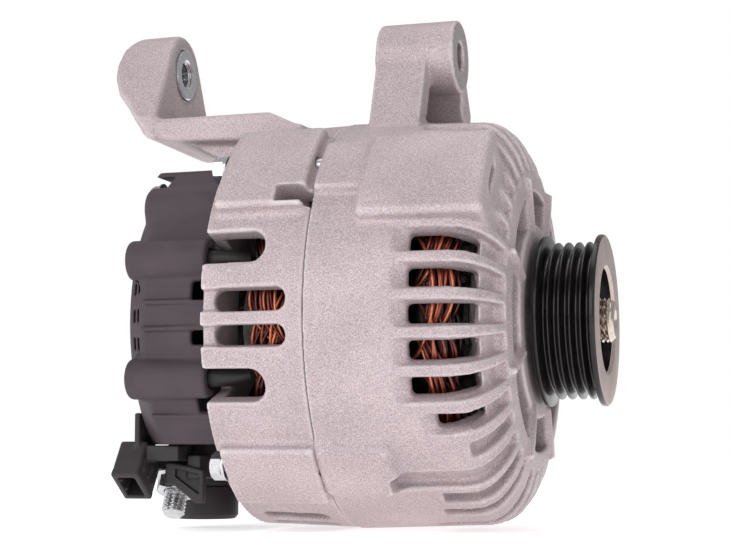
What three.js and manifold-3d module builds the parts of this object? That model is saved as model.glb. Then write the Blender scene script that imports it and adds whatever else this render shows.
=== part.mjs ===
// A car alternator: two cast brackets around a stator, a claw-pole rotor on two ball bearings,
// a ribbed belt pulley, and the rectifier, brushes and regulator under a plastic rear cover.
// Millimetres, +Z up. Inside the file everything is drawn about the shaft axis, with X = 0 where
// the two brackets meet and +X towards the pulley. The whole object is then moved so that its
// origin is the centre of the front lug's front face, on the axis of the mounting bolt.
import * as THREE from 'three';
import { mergeVertices } from 'three/addons/utils/BufferGeometryUtils.js';
import Module from 'manifold-3d';

const wasm = await Module();
wasm.setup();

// ---------------------------------------------------------------- driving dimensions

const GAP = 0.3; // between pieces that touch
const RUNNING_GAP = 0.5; // between the balls and their races
const AIR_GAP = 0.7; // between the rotor and the stator

const body = { radius: 70.3, frontLength: 61.5, rearLength: 34.7, endWall: 4 };
const rotor = { radius: 48.5, length: 43, claws: 6, discThickness: 10, clawTip: 9, clawSpace: 5.57 };
const stator = {
  outer: body.radius - 6.3, inner: rotor.radius + AIR_GAP, back: -3, front: 30,
  slots: 36, slotWidth: 3, yoke: 3.8,
};
const slotDepth = stator.outer - stator.inner - stator.yoke;
const winding = { inner: stator.inner + 1, outer: stator.outer - 3.5, frontReach: 17, rearReach: 20 };
const shaft = { radius: 8.5, threadRadius: 7.5, ringSeatRadius: 5, proud: 2.65, rear: -61.5 };
const frontBearing = { inner: shaft.radius, outer: 23.5, width: 14, back: body.frontLength - 17.5, balls: 7 };
const rearBearing = { inner: shaft.radius, outer: 17.5, width: 10, back: -body.rearLength - 1.3, balls: 8 };
const hubOuter = frontBearing.outer + 7.5;
const fan = {
  radius: rotor.radius - 3.5, sheet: 1.5, bladeInner: hubOuter + 2,
  frontBlade: 8.5, rearBlade: 9.5, blades: 11,
};
const pulley = {
  front: body.frontLength + 23.15, width: 21, flange: 28.85, rib: 26.4, groove: 23.3, pitch: 3.56,
  grooves: 5, ribFlat: 0.35, recess: 17.5, recessDepth: 15.15, bore: shaft.radius, chamfer: 0.9,
};
const pulleyFloor = pulley.front - pulley.recessDepth;
const pulleyNut = { acrossFlats: 24, height: 11, washer: 14 };
const slipRing = { radius: 8, inner: 7, width: 4, first: -50, second: -57 };
const throughBolt = {
  circle: body.radius - 1.6, radius: 2.5, holeRadius: 2.8, head: 4.6, hexagon: 8, headLength: 5, front: 21,
};
const cover = {
  radius: 61.5, backRadius: 60, bevelRadius: 52, back: -66.4, bevelStart: -57.5, wall: 2.2,
  flat: 52.5, // height of the flat on top, under the arm
};
const lug = { z: body.radius + 23.03, radius: 12.7, back: 7, front: 34.7, bore: 5.1 };
const ear = {
  front: -68.7, thickness: 21, apex: 14.5, halfBase: 27,
  armTop: body.radius + 2, armBottom: body.radius - 6.8,
};
const bush = { radius: 9.1, bore: 4.6, proud: 0.5, length: 19 };
const stud = { x: -61, angle: 248, radius: 4, base: 50.5, tip: 71 };
const brush = { width: 3.6, depth: 5.6, length: 13, springLength: 8, wire: 0.35 };

// Facets round a circle.
const FINE = 40;
const MEDIUM = 20;
const COARSE = 12;
const SMALL = 8;

const BOLT_ANGLES = [135, 225, 315, 45];
const LEAD_ANGLES = [162.2, 199.8];
const LEAD_CIRCLE = cover.radius - 2;
const LEAD_RADIUS = 3.1;
const screwAngles = [4, 118, 300];
const screwCircle = 50;
const screwRadius = 2.4;

// ---------------------------------------------------------------- helpers: solids

const TURN = Math.PI * 2;
const radians = (degrees) => (degrees * Math.PI) / 180;

// A closed geometry as a manifold solid: shared vertices merged, flat triangles dropped, faces outwards.
function solid(geometry) {
  const bare = geometry.index ? geometry.toNonIndexed() : geometry.clone();
  bare.deleteAttribute('normal');
  bare.deleteAttribute('uv');
  const merged = mergeVertices(bare, 1e-4);
  const corners = merged.index.array;
  const points = merged.attributes.position.array;
  const kept = [];
  let sixVolumes = 0;
  const at = (i) => new THREE.Vector3().fromArray(points, i * 3);
  for (let i = 0; i < corners.length; i += 3) {
    const [a, b, c] = [corners[i], corners[i + 1], corners[i + 2]];
    if (a === b || b === c || c === a) continue;
    kept.push(a, b, c);
    sixVolumes += at(a).dot(at(b).cross(at(c)));
  }
  if (sixVolumes < 0) {
    kept.reverse();
  }
  return new wasm.Manifold(
    new wasm.Mesh({ numProp: 3, vertProperties: points, triVerts: new Uint32Array(kept) }),
  );
}

// The solid's triangles as a BufferGeometry.
function geometryOf(made) {
  const mesh = made.getMesh();
  const geometry = new THREE.BufferGeometry();
  geometry.setAttribute('position', new THREE.BufferAttribute(new Float32Array(mesh.vertProperties), 3));
  geometry.setIndex(new THREE.BufferAttribute(new Uint32Array(mesh.triVerts), 1));
  geometry.computeVertexNormals();
  return geometry;
}

const join = (solids) => solids.reduce((a, b) => a.add(b));
const cut = (from, tools) => tools.reduce((a, b) => a.subtract(b), from);

// A profile of [x, radius] points turned about the shaft axis. It starts and ends on the axis,
// or it is closed by repeating its first point.
function turned(profile, segments = FINE) {
  const points = profile.map(([x, radius]) => new THREE.Vector2(radius, x));
  const geometry = new THREE.LatheGeometry(points, segments);
  return solid(geometry.rotateZ(-Math.PI / 2));
}

// A plain ring or disc between two X positions.
function ring(x0, x1, inner, outer, segments = MEDIUM) {
  if (inner === 0) {
    return turned([[x0, 0], [x0, outer], [x1, outer], [x1, 0]], segments);
  }
  return turned([[x0, inner], [x0, outer], [x1, outer], [x1, inner], [x0, inner]], segments);
}

// An outline extruded by depth along the third of three given axes.
function extruded(outline, depth, axisU, axisV, axisW, origin = [0, 0, 0]) {
  const shape = outline instanceof THREE.Shape
    ? outline
    : new THREE.Shape(outline.map(([u, v]) => new THREE.Vector2(u, v)));
  const geometry = new THREE.ExtrudeGeometry(shape, { depth, bevelEnabled: false, curveSegments: 10 });
  const place = new THREE.Matrix4().makeBasis(
    new THREE.Vector3(...axisU), new THREE.Vector3(...axisV), new THREE.Vector3(...axisW),
  );
  place.setPosition(...origin);
  return solid(geometry.applyMatrix4(place));
}

// A (y, z) outline between two X positions.
const alongX = (outline, x0, x1) => extruded(outline, x1 - x0, [0, 1, 0], [0, 0, 1], [1, 0, 0], [x0, 0, 0]);

// An (x, z) outline between two Y positions.
const alongY = (outline, y0, y1) => extruded(outline, y1 - y0, [1, 0, 0], [0, 0, 1], [0, -1, 0], [0, y1, 0]);

// A box from its lowest to its highest corner.
function box(low, high) {
  const size = high.map((value, i) => value - low[i]);
  const geometry = new THREE.BoxGeometry(...size);
  return solid(geometry.translate(low[0] + size[0] / 2, low[1] + size[1] / 2, low[2] + size[2] / 2));
}

// A cylinder along X, centred at (y, z).
function rod(x0, x1, radius, y = 0, z = 0, segments = COARSE) {
  const geometry = new THREE.CylinderGeometry(radius, radius, x1 - x0, segments);
  return solid(geometry.rotateZ(-Math.PI / 2).translate((x0 + x1) / 2, y, z));
}

// A hexagonal prism along X.
const hexagon = (x0, x1, acrossFlats, y = 0, z = 0) => rod(x0, x1, acrossFlats / Math.sqrt(3), y, z, 6);

// The point at a radius and an angle about the shaft axis, 90 degrees being up.
const polar = (radius, degrees) => [radius * Math.cos(radians(degrees)), radius * Math.sin(radians(degrees))];

// An (x, tangent) outline pushed outwards from one radius to another at an angle.
function radialPrism(outline, degrees, r0, r1) {
  const [ny, nz] = polar(1, degrees);
  return extruded(outline, r1 - r0, [1, 0, 0], [0, nz, -ny], [0, ny, nz], [0, ny * r0, nz * r0]);
}

// A block of a ring: two radii, two angles and two X positions.
function sector(r0, r1, a0, a1, x0, x1) {
  const steps = Math.max(1, Math.ceil((a1 - a0) / 13));
  const outline = [];
  for (let i = 0; i <= steps; i += 1) {
    outline.push(polar(r1, a0 + ((a1 - a0) * i) / steps));
  }
  for (let i = steps; i >= 0; i -= 1) {
    outline.push(polar(r0, a0 + ((a1 - a0) * i) / steps));
  }
  return alongX(outline, x0, x1);
}

// A solid turned about the shaft axis.
const spun = (made, degrees) => made.rotate([degrees, 0, 0]);

// An outline of a slot along X with one or two round ends.
function slotOutline(x0, x1, width, roundBack, roundFront) {
  const half = width / 2;
  const points = [];
  const arc = (centre, from) => {
    for (let i = 0; i <= 3; i += 1) {
      const angle = radians(from + i * 60);
      points.push([centre + half * Math.cos(angle), half * Math.sin(angle)]);
    }
  };
  if (roundFront) {
    arc(x1 - half, -90);
  } else {
    points.push([x1, -half], [x1, half]);
  }
  if (roundBack) {
    arc(x0 + half, 90);
  } else {
    points.push([x0, half], [x0, -half]);
  }
  return points;
}

// ---------------------------------------------------------------- materials and the group

const finishes = {
  casting: { color: 0xbfb2ae, roughness: 0.6, metalness: 0.7 },
  coverPlastic: { color: 0x4a444b, roughness: 0.65, metalness: 0 },
  blackPlastic: { color: 0x262326, roughness: 0.5, metalness: 0 },
  zinc: { color: 0xcfd0d4, roughness: 0.3, metalness: 1 },
  steel: { color: 0xa9a6a2, roughness: 0.35, metalness: 1 },
  brightSteel: { color: 0xc9b99a, roughness: 0.25, metalness: 1 },
  coated: { color: 0x17151a, roughness: 0.25, metalness: 0.3 },
  laminations: { color: 0x55504c, roughness: 0.6, metalness: 0.6 },
  copper: { color: 0xa3421e, roughness: 0.4, metalness: 0.8 },
  aluminium: { color: 0xb8b8ba, roughness: 0.4, metalness: 0.9 },
  carbon: { color: 0x3a3633, roughness: 0.7, metalness: 0.2 },
};

const shaftFrame = new THREE.Group();

// One named sub-part with its own material.
function part(name, made, finish) {
  const mesh = new THREE.Mesh(geometryOf(made), new THREE.MeshStandardMaterial(finishes[finish]));
  mesh.name = name;
  shaftFrame.add(mesh);
}

// ---------------------------------------------------------------- front bracket

const statorRegister = stator.outer + 0.5;
const windingRoom = stator.outer - 1.5;
const bearingFront = frontBearing.back + frontBearing.width;
const hubBore = 13.5;
const shoulderStart = body.frontLength - 15.5;
const shoulderFront = body.frontLength - 3.5;
const slotBack = 32.4;
const slotFront = body.frontLength - 8.5;
const slotHalf = 3.1;
const slotInside = 56;
const outsideAll = body.radius + 10;
const bossRoot = body.radius - 6.8;
const bossRadius = throughBolt.circle + 5.3;
const slotCount = 36; // places for slots round the bracket
const slotPitch = 360 / slotCount;
const firstSlot = 161.5;
const closedSpans = [[122, 156], [216, 256], [303, 327], [33, 57]]; // where bosses and fins leave no slot
const retainerAngles = [30, 150, 270];
const retainerScrews = frontBearing.outer + 3.8;
const retainerHole = 2.3;

function frontBracket() {
  const faceX = body.frontLength;
  const outside = [
    [GAP / 2, body.radius], [shoulderStart, body.radius - 1.6], [faceX - 8.3, body.radius - 5.1],
    [faceX - 2.9, body.radius - 13.3], [faceX, body.radius - 25.3],
  ];
  const inside = [
    [faceX, hubBore], [bearingFront + GAP, hubBore], [bearingFront + GAP, frontBearing.outer + GAP],
    [frontBearing.back, frontBearing.outer + GAP], [frontBearing.back, hubOuter],
    [faceX - 5, hubOuter], [faceX - 5, body.radius - 17.3], [faceX - 14.5, windingRoom],
    [stator.front + GAP, windingRoom], [stator.front + GAP, statorRegister], [GAP / 2, statorRegister],
  ];
  // The facets of the shell are turned so that each slot lies in the middle of one.
  const shell = spun(turned([...outside, ...inside, outside[0]], slotCount), firstSlot - slotPitch / 2);

  const bosses = [
    sector(bossRoot, bossRadius, 127, 155, 16, shoulderFront),
    sector(bossRoot, bossRadius - 1, 130, 146, GAP / 2, 17),
    sector(statorRegister, bossRadius - 0.6, 217, 233, GAP / 2, 25),
    sector(bossRoot, bossRadius - 1, 307, 323, GAP / 2, shoulderFront),
    sector(bossRoot, bossRadius - 1, 37, 53, GAP / 2, shoulderFront),
  ];
  // Behind each long boss the shoulder is filled, so that the boss has a root.
  const roots = [141, 315, 45].map((angle) => sector(
    body.radius - 18.3, body.radius - 4.3, angle - 8, angle + 8, faceX - 13.5, faceX - 4.5,
  ));

  const windows = [];
  for (let i = 0; i < 8; i += 1) {
    const middle = i * 45;
    windows.push(sector(
      hubOuter + 2, body.radius - 26.3, middle - 18.5, middle + 18.5, faceX - 7.5, faceX + 3,
    ));
  }

  const slots = [];
  const slotAngles = [];
  for (let k = 0; k < slotCount; k += 1) {
    const angle = (firstSlot + slotPitch * k) % 360;
    if (!closedSpans.some(([from, to]) => angle > from && angle < to)) {
      slotAngles.push(angle);
    }
  }
  const slotShape = [
    [slotBack, -slotHalf], [slotFront, -slotHalf], [slotFront, slotHalf], [slotBack, slotHalf],
  ];
  for (const angle of slotAngles) {
    slots.push(radialPrism(slotShape, angle, slotInside, outsideAll));
  }

  const boltHoles = BOLT_ANGLES.map((angle) => {
    const depth = angle === 225 ? throughBolt.front + 2.5 : faceX - 1.5;
    return rod(-1, depth, throughBolt.holeRadius, ...polar(throughBolt.circle, angle), SMALL);
  });
  const screwHoles = retainerAngles.map((angle) => rod(
    frontBearing.back - 4, frontBearing.back + 10, retainerHole, ...polar(retainerScrews, angle), SMALL,
  ));

  // The lug stands on a post of two sloping walls, with a web between them and a pocket open to +X.
  const lugBarrel = rod(lug.back, lug.front, lug.radius, 0, lug.z, MEDIUM);
  const wallTop = lug.z - 1.83;
  const wallInside = lug.z - 7.33;
  const root = stator.outer;
  const nearWall = alongX([[-12.3, wallTop], [-6.5, wallInside], [-15.5, root], [-24.5, root]], 8, 25.5);
  const farWall = alongX([[12.3, wallTop], [6.5, wallInside], [22, root - 2], [34, root - 4]], 8, 33);
  const web = alongX([[-10, lug.z - 5.33], [10, lug.z - 5.33], [26, root - 2], [-19, root - 2]], 8, 13);
  const lugBore = rod(lug.back - 1, lug.front + 1, lug.bore, 0, lug.z, COARSE);
  const statorRoom = ring(-5, stator.front + GAP, 0, statorRegister, FINE);

  const cast = join([shell, ...bosses, ...roots, lugBarrel, nearWall, farWall, web]);
  return cut(cast, [...windows, ...slots, ...boltHoles, ...screwHoles, lugBore, statorRoom]);
}

part('front_bracket', frontBracket(), 'casting');

// ---------------------------------------------------------------- rear bracket

const rearHub = { outer: rearBearing.outer + 4, front: rearBearing.back + 11, lip: 11.5, reach: 3.3 };
const rearFace = -body.rearLength;
const boltSeat = 2.7 - body.rearLength;
const sideSlots = { back: rearFace + body.endWall, front: -6.3, width: 6.6 };

function rearBracket() {
  const shell = turned([
    [-GAP / 2, body.radius - 0.5], [rearFace, body.radius - 1.6], [rearFace, rearHub.outer],
    [rearFace - rearHub.reach, rearHub.outer], [rearFace - rearHub.reach, rearHub.lip],
    [rearBearing.back - GAP, rearHub.lip], [rearBearing.back - GAP, rearBearing.outer + GAP],
    [rearHub.front, rearBearing.outer + GAP], [rearHub.front, rearHub.outer],
    [rearFace + body.endWall, rearHub.outer], [rearFace + body.endWall, windingRoom],
    [stator.back - GAP, windingRoom], [stator.back - GAP, statorRegister], [-GAP / 2, statorRegister],
    [-GAP / 2, body.radius - 0.5],
  ]);

  const blocks = [
    sector(bossRoot, bossRadius + 0.3, 120, 152, boltSeat, -2),
    sector(bossRoot, bossRadius - 0.6, 217, 236, boltSeat, -GAP / 2),
    sector(bossRoot, bossRadius - 0.6, 306, 324, boltSeat, -GAP / 2),
    sector(bossRoot, bossRadius + 0.3, 28, 60, boltSeat, -2),
  ];

  // The arm runs back from the top of the bracket and turns up into the ear.
  const earBack = ear.front - ear.thickness;
  const arm = alongY([
    [-17.7, ear.armBottom + 4], [-27.4, ear.armTop + 0.2], [ear.front + 2, ear.armTop], [-76, ear.armTop],
    [-73, ear.armBottom + 2.8], [-60, ear.armBottom], [-34, ear.armBottom - 1], [-18, ear.armBottom - 1.5],
  ], -ear.halfBase, ear.halfBase);
  const gussetOutline = [
    [-57, ear.armBottom + 2], [-34, ear.armBottom + 2], [-31, ear.armBottom - 3.5],
    [-31, cover.flat + 2.5], [-35, cover.flat + 1.5], [-45, cover.flat + 5.5],
  ];
  const gussets = [alongY(gussetOutline, -23, -18), alongY(gussetOutline, 18, 23)];
  const earOutline = [];
  for (let i = 0; i <= 8; i += 1) {
    const [y, z] = polar(ear.apex, 35 + (110 * i) / 8);
    earOutline.push([y, lug.z + z]);
  }
  earOutline.push([-ear.halfBase, ear.armTop + 4], [-ear.halfBase, ear.armBottom + 2]);
  earOutline.push([ear.halfBase, ear.armBottom + 2], [ear.halfBase, ear.armTop + 4]);
  const earBlock = alongX(earOutline, earBack - 1, ear.front);
  const earSide = alongY([
    [ear.front, ear.armBottom - 1.5], [-73, ear.armBottom + 2.8], [-81, ear.armTop + 1.7],
    [-86.5, lug.z - 12.3], [-89.3, lug.z - 5.3], [-89.8, lug.z + 1.7],
    [-88.5, lug.z + 8.7], [-85, lug.z + 14.2], [-82, lug.z + 15.7], [ear.front, lug.z + 15.7],
  ], -ear.halfBase - 1, ear.halfBase + 1);

  const cuts = [];
  for (const mirrored of [false, true]) {
    const side = (angle) => (mirrored ? 180 - angle : angle);
    for (const angle of LEAD_ANGLES) {
      const leadSlot = slotOutline(rearFace - 5, -14, 10.6, false, true);
      cuts.push(radialPrism(leadSlot, side(angle), LEAD_CIRCLE - 4.5, outsideAll));
    }
    for (const angle of [176.8, 186.4]) {
      const sideSlot = slotOutline(sideSlots.back, sideSlots.front, sideSlots.width, false, true);
      cuts.push(radialPrism(sideSlot, side(angle), slotInside, outsideAll));
    }
  }
  for (const angle of [252, 261, 270, 279, 288]) {
    const lowSlot = slotOutline(sideSlots.back + 1.7, sideSlots.front, sideSlots.width, true, true);
    cuts.push(radialPrism(lowSlot, angle, slotInside, outsideAll));
  }
  for (let i = 0; i < 6; i += 1) {
    cuts.push(sector(26, 44, i * 60 - 23, i * 60 + 23, rearFace - 1, rearFace + body.endWall + 1));
  }
  for (const angle of BOLT_ANGLES) {
    cuts.push(rod(-45, 1, throughBolt.holeRadius, ...polar(throughBolt.circle, angle), SMALL));
    // Each bolt head stands in the open, clear of the arm's gussets.
    cuts.push(rod(-45, boltSeat, throughBolt.head + 1.2, ...polar(throughBolt.circle, angle), COARSE));
  }
  for (const angle of screwAngles) {
    cuts.push(rod(rearFace - 1, rearFace + 5, screwRadius + GAP, ...polar(screwCircle, angle), SMALL));
  }
  cuts.push(rod(earBack - 2, ear.front + 2, bush.radius + GAP, 0, lug.z, MEDIUM));
  cuts.push(ring(stator.back - GAP, 5, 0, statorRegister, FINE));

  const cast = join([shell, ...blocks, arm, ...gussets, earBlock.intersect(earSide)]);
  return cut(cast, cuts);
}

part('rear_bracket', rearBracket(), 'casting');

const bushFront = ear.front + bush.proud;
part(
  'ear_bush',
  cut(rod(bushFront - bush.length, bushFront, bush.radius, 0, lug.z, MEDIUM), [
    rod(bushFront - bush.length - 1, bushFront + 1, bush.bore, 0, lug.z, COARSE),
  ]),
  'zinc',
);

// ---------------------------------------------------------------- through bolts

BOLT_ANGLES.forEach((angle, i) => {
  const at = polar(throughBolt.circle, angle);
  const seat = boltSeat - GAP;
  part(
    `through_bolt_${i + 1}`,
    join([
      rod(seat - 1, throughBolt.front, throughBolt.radius, ...at, SMALL),
      rod(seat - 1.2, seat, throughBolt.head, ...at, COARSE),
      hexagon(seat - throughBolt.headLength, seat - 1, throughBolt.hexagon, ...at),
    ]),
    'zinc',
  );
});

// ---------------------------------------------------------------- stator

const slotStep = 360 / stator.slots;

function statorCore() {
  const core = ring(stator.back, stator.front, stator.inner, stator.outer, stator.slots);
  const slots = [];
  for (let i = 0; i < stator.slots; i += 1) {
    const slot = box(
      [stator.back - 1, stator.inner - 2, -stator.slotWidth / 2],
      [stator.front + 1, stator.inner + slotDepth, stator.slotWidth / 2],
    );
    slots.push(spun(slot, (i + 0.5) * slotStep));
  }
  return cut(core, slots);
}

function statorWinding() {
  const frontFace = stator.front + GAP;
  const rearEnd = stator.back - GAP;
  const frontRing = turned([
    [frontFace, winding.inner], [frontFace, winding.outer],
    [frontFace + winding.frontReach - 4, winding.outer],
    [frontFace + winding.frontReach, winding.outer - 5], [frontFace + winding.frontReach, winding.inner + 3],
    [frontFace + 5, winding.inner], [frontFace, winding.inner],
  ], stator.slots);
  const rearRing = turned([
    [rearEnd, winding.inner], [rearEnd - 5, winding.inner], [rearEnd - winding.rearReach, winding.inner + 3],
    [rearEnd - winding.rearReach, winding.outer - 4], [rearEnd - winding.rearReach + 3, winding.outer],
    [rearEnd, winding.outer], [rearEnd, winding.inner],
  ], stator.slots);
  const bars = [];
  const half = stator.slotWidth / 2 - GAP;
  for (let i = 0; i < stator.slots; i += 1) {
    const bar = box(
      [rearEnd - 1, winding.inner + 0.6, -half],
      [frontFace + 1, stator.inner + slotDepth - 0.5, half],
    );
    bars.push(spun(bar, (i + 0.5) * slotStep));
  }
  return join([frontRing, rearRing, ...bars]);
}

part('stator_core', statorCore(), 'laminations');
part('stator_winding', statorWinding(), 'copper');

// The two sleeved leads run back from the winding to the rectifier, inside the cover's pockets.
const leadFront = stator.back - GAP - winding.rearReach - GAP;
const leadBack = -50;
LEAD_ANGLES.forEach((angle, i) => {
  const lead = rod(leadBack, leadFront, LEAD_RADIUS, ...polar(LEAD_CIRCLE, angle), COARSE);
  part(`stator_lead_${i + 1}`, lead, 'blackPlastic');
});

// ---------------------------------------------------------------- rotor

const rotorBack = (stator.back + stator.front - rotor.length) / 2;
const rotorFront = rotorBack + rotor.length;
const rotorMiddle = (rotorBack + rotorFront) / 2;
const coreRadius = 13;
const coilOuter = rotor.radius - 12.5;
const halfPitch = 180 / rotor.claws;
// The claws of the two poles lie side by side, and keep their space where they are closest to the coil.
const clawBase = 2 * coilOuter * Math.tan(radians(halfPitch)) - rotor.clawTip - rotor.clawSpace;
const rotorBore = shaft.radius + GAP;

// One claw pole, drawn for the front: a disc with a core half and six tapering claws that reach back.
function clawPole() {
  const discBack = rotorFront - rotor.discThickness;
  const clawEnd = rotorBack + 3;
  const inside = coilOuter - 6;
  const cone = turned([
    [rotorFront, inside], [rotorFront, rotor.radius - 1.5], [rotorFront - 1.5, rotor.radius],
    [clawEnd, rotor.radius], [clawEnd, rotor.radius - 4], [discBack, coilOuter + 1.5], [discBack, inside],
    [rotorFront, inside],
  ], MEDIUM);
  const claws = [];
  for (let i = 0; i < rotor.claws; i += 1) {
    const outline = [
      [rotorFront + 1, -clawBase / 2], [rotorFront + 1, clawBase / 2],
      [discBack, clawBase / 2], [clawEnd, rotor.clawTip / 2],
      [clawEnd, -rotor.clawTip / 2], [discBack, -clawBase / 2],
    ];
    claws.push(radialPrism(outline, (i * 360) / rotor.claws, inside - 6, rotor.radius + 7.5));
  }
  const disc = ring(discBack, rotorFront, 0, coilOuter - 1);
  const core = ring(rotorMiddle + GAP / 2, discBack + 1, 0, coreRadius);
  const made = join([cone.intersect(join(claws)), disc, core]);
  return cut(made, [ring(rotorBack - 5, rotorFront + 5, 0, rotorBore)]);
}

part('front_claw_pole', clawPole(), 'steel');
// The rear claw pole is the front one turned end for end and half a claw pitch round.
const rearPole = spun(clawPole().translate([-rotorMiddle, 0, 0]).rotate([0, 180, 0]), halfPitch);
part('rear_claw_pole', rearPole.translate([rotorMiddle, 0, 0]), 'steel');

const coilSpace = {
  back: rotorBack + rotor.discThickness + GAP, front: rotorFront - rotor.discThickness - GAP, wall: 1.3,
};
const bobbinOuter = coreRadius + 2;
part(
  'coil_bobbin',
  turned([
    [coilSpace.back, coreRadius + GAP], [coilSpace.back, coilOuter],
    [coilSpace.back + coilSpace.wall, coilOuter], [coilSpace.back + coilSpace.wall, bobbinOuter],
    [coilSpace.front - coilSpace.wall, bobbinOuter], [coilSpace.front - coilSpace.wall, coilOuter],
    [coilSpace.front, coilOuter], [coilSpace.front, coreRadius + GAP],
    [coilSpace.back, coreRadius + GAP],
  ], MEDIUM),
  'blackPlastic',
);
const coilBack = coilSpace.back + coilSpace.wall + GAP;
const coilFront = coilSpace.front - coilSpace.wall - GAP;
part('field_coil', ring(coilBack, coilFront, bobbinOuter + GAP, coilOuter - 0.5), 'copper');

// A sheet-metal fan: a disc with leaning blades on its outer face.
function fanWheel(face, direction, bladeLength) {
  const sheetEnd = face + direction * fan.sheet;
  const bladeEnd = sheetEnd + direction * bladeLength;
  const [low, high] = [Math.min(face, sheetEnd), Math.max(face, sheetEnd)];
  const [bladeLow, bladeHigh] = [Math.min(face, bladeEnd), Math.max(face, bladeEnd)];
  const blades = [];
  for (let i = 0; i < fan.blades; i += 1) {
    const outline = [[fan.bladeInner, 0], [fan.radius, 5], [fan.radius - 0.3, 6.6], [fan.bladeInner, 1.6]];
    const blade = alongX(outline, bladeLow, bladeHigh);
    blades.push(spun(blade, (i * 360) / fan.blades));
  }
  const disc = ring(low, high, 0, fan.bladeInner + 5, 2 * fan.blades);
  return cut(join([disc, ...blades]), [ring(low - 1, high + 1, 0, rotorBore)]);
}

part('front_fan', fanWheel(rotorFront + GAP, 1, fan.frontBlade), 'steel');
part('rear_fan', fanWheel(rotorBack - GAP, -1, fan.rearBlade), 'steel');

const shaftFront = pulley.front + shaft.proud;
const shoulder = pulleyFloor - 0.5;
part(
  'shaft',
  turned([
    [shaft.rear, 0], [shaft.rear, shaft.ringSeatRadius], [-41, shaft.ringSeatRadius], [-40, shaft.radius],
    [shoulder, shaft.radius], [shoulder, shaft.threadRadius],
    [shaftFront - 1, shaft.threadRadius], [shaftFront, shaft.threadRadius - 1], [shaftFront, 0],
  ], MEDIUM),
  'brightSteel',
);

// ---------------------------------------------------------------- slip rings

const sleeve = { back: shaft.rear + 0.5, front: -43, outer: slipRing.inner - GAP };
const sleeveTube = ring(sleeve.back, sleeve.front, shaft.ringSeatRadius + GAP, sleeve.outer);
part('slip_ring_sleeve', sleeveTube, 'blackPlastic');
[slipRing.first, slipRing.second].forEach((back, i) => {
  part(`slip_ring_${i + 1}`, ring(back, back + slipRing.width, slipRing.inner, slipRing.radius), 'copper');
});

// ---------------------------------------------------------------- bearings

// An outer race, an inner race and a cage that carries the balls, with a groove for the balls in each race.
function bearing(name, size) {
  const { inner, outer, width, back, balls } = size;
  const middle = back + width / 2;
  const pitch = (inner + GAP + outer) / 2;
  const ballRadius = (outer - inner) * 0.26;
  const raceDepth = ballRadius * 0.72;
  const groove = turnedTorus(middle, pitch, ballRadius + RUNNING_GAP);
  part(`${name}_outer`, cut(ring(back, back + width, pitch + raceDepth, outer), [groove]), 'steel');
  part(`${name}_inner`, cut(ring(back, back + width, inner + GAP, pitch - raceDepth), [groove]), 'steel');
  const cage = ring(middle - ballRadius * 0.55, middle + ballRadius * 0.55, pitch - 0.9, pitch + 0.9, 18);
  const set = [cage];
  for (let i = 0; i < balls; i += 1) {
    const ball = new THREE.SphereGeometry(ballRadius, 6, 4);
    set.push(solid(ball.translate(middle, ...polar(pitch, (i * 360) / balls))));
  }
  part(`${name}_cage`, join(set), 'steel');
}

// A ring of round section about the shaft axis.
function turnedTorus(x, radius, tube) {
  const profile = [];
  const sides = 6;
  const corner = tube / Math.cos(Math.PI / sides);
  for (let i = 0; i < sides; i += 1) {
    const angle = (TURN * (i + 0.5)) / sides;
    profile.push([x + corner * Math.sin(angle), radius + corner * Math.cos(angle)]);
  }
  return turned([...profile, profile[0]], MEDIUM);
}

bearing('front_bearing', frontBearing);
bearing('rear_bearing', rearBearing);

const retainer = { front: frontBearing.back - GAP, back: frontBearing.back - GAP - 1.4, overlap: 3 };
const retainerPlate = ring(
  retainer.back, retainer.front, frontBearing.outer - retainer.overlap, hubOuter - 0.5,
);
const retainerHoles = retainerAngles.map((angle) => rod(
  retainer.back - 1, retainer.front + 1, retainerHole, ...polar(retainerScrews, angle), SMALL,
));
part('bearing_retainer', cut(retainerPlate, retainerHoles), 'steel');
retainerAngles.forEach((angle, i) => {
  const at = polar(retainerScrews, angle);
  const head = retainer.back - GAP;
  const screw = rod(retainer.back - 1, frontBearing.back + 8, retainerHole - 0.35, ...at, SMALL);
  part(`retainer_screw_${i + 1}`, join([screw, rod(head - 2, head, 2.9, ...at, SMALL)]), 'zinc');
});

// ---------------------------------------------------------------- pulley

const pulleyBack = pulley.front - pulley.width;
part('shaft_spacer', ring(bearingFront + GAP, pulleyBack - GAP, rotorBore, hubBore - 1.5), 'steel');

function pulleyWheel() {
  const start = pulleyBack + (pulley.width - pulley.grooves * pulley.pitch) / 2;
  const profile = [[pulleyBack, pulley.bore + GAP], [pulleyBack, pulley.flange - pulley.chamfer]];
  profile.push([pulleyBack + pulley.chamfer, pulley.flange]);
  for (let i = 0; i < pulley.grooves; i += 1) {
    const left = start + i * pulley.pitch;
    const leftTop = i === 0 ? pulley.flange : pulley.rib;
    const rightTop = i === pulley.grooves - 1 ? pulley.flange : pulley.rib;
    profile.push([left + pulley.ribFlat, leftTop]);
    profile.push([left + pulley.pitch / 2, pulley.groove]);
    profile.push([left + pulley.pitch - pulley.ribFlat, rightTop]);
  }
  profile.push([pulley.front - pulley.chamfer, pulley.flange]);
  profile.push([pulley.front, pulley.flange - pulley.chamfer]);
  profile.push([pulley.front, pulley.recess + 0.8], [pulley.front - 0.8, pulley.recess]);
  profile.push([pulleyFloor, pulley.recess], [pulleyFloor, pulley.bore + GAP], profile[0]);
  return turned(profile, 30);
}

part('pulley', pulleyWheel(), 'coated');

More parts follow.
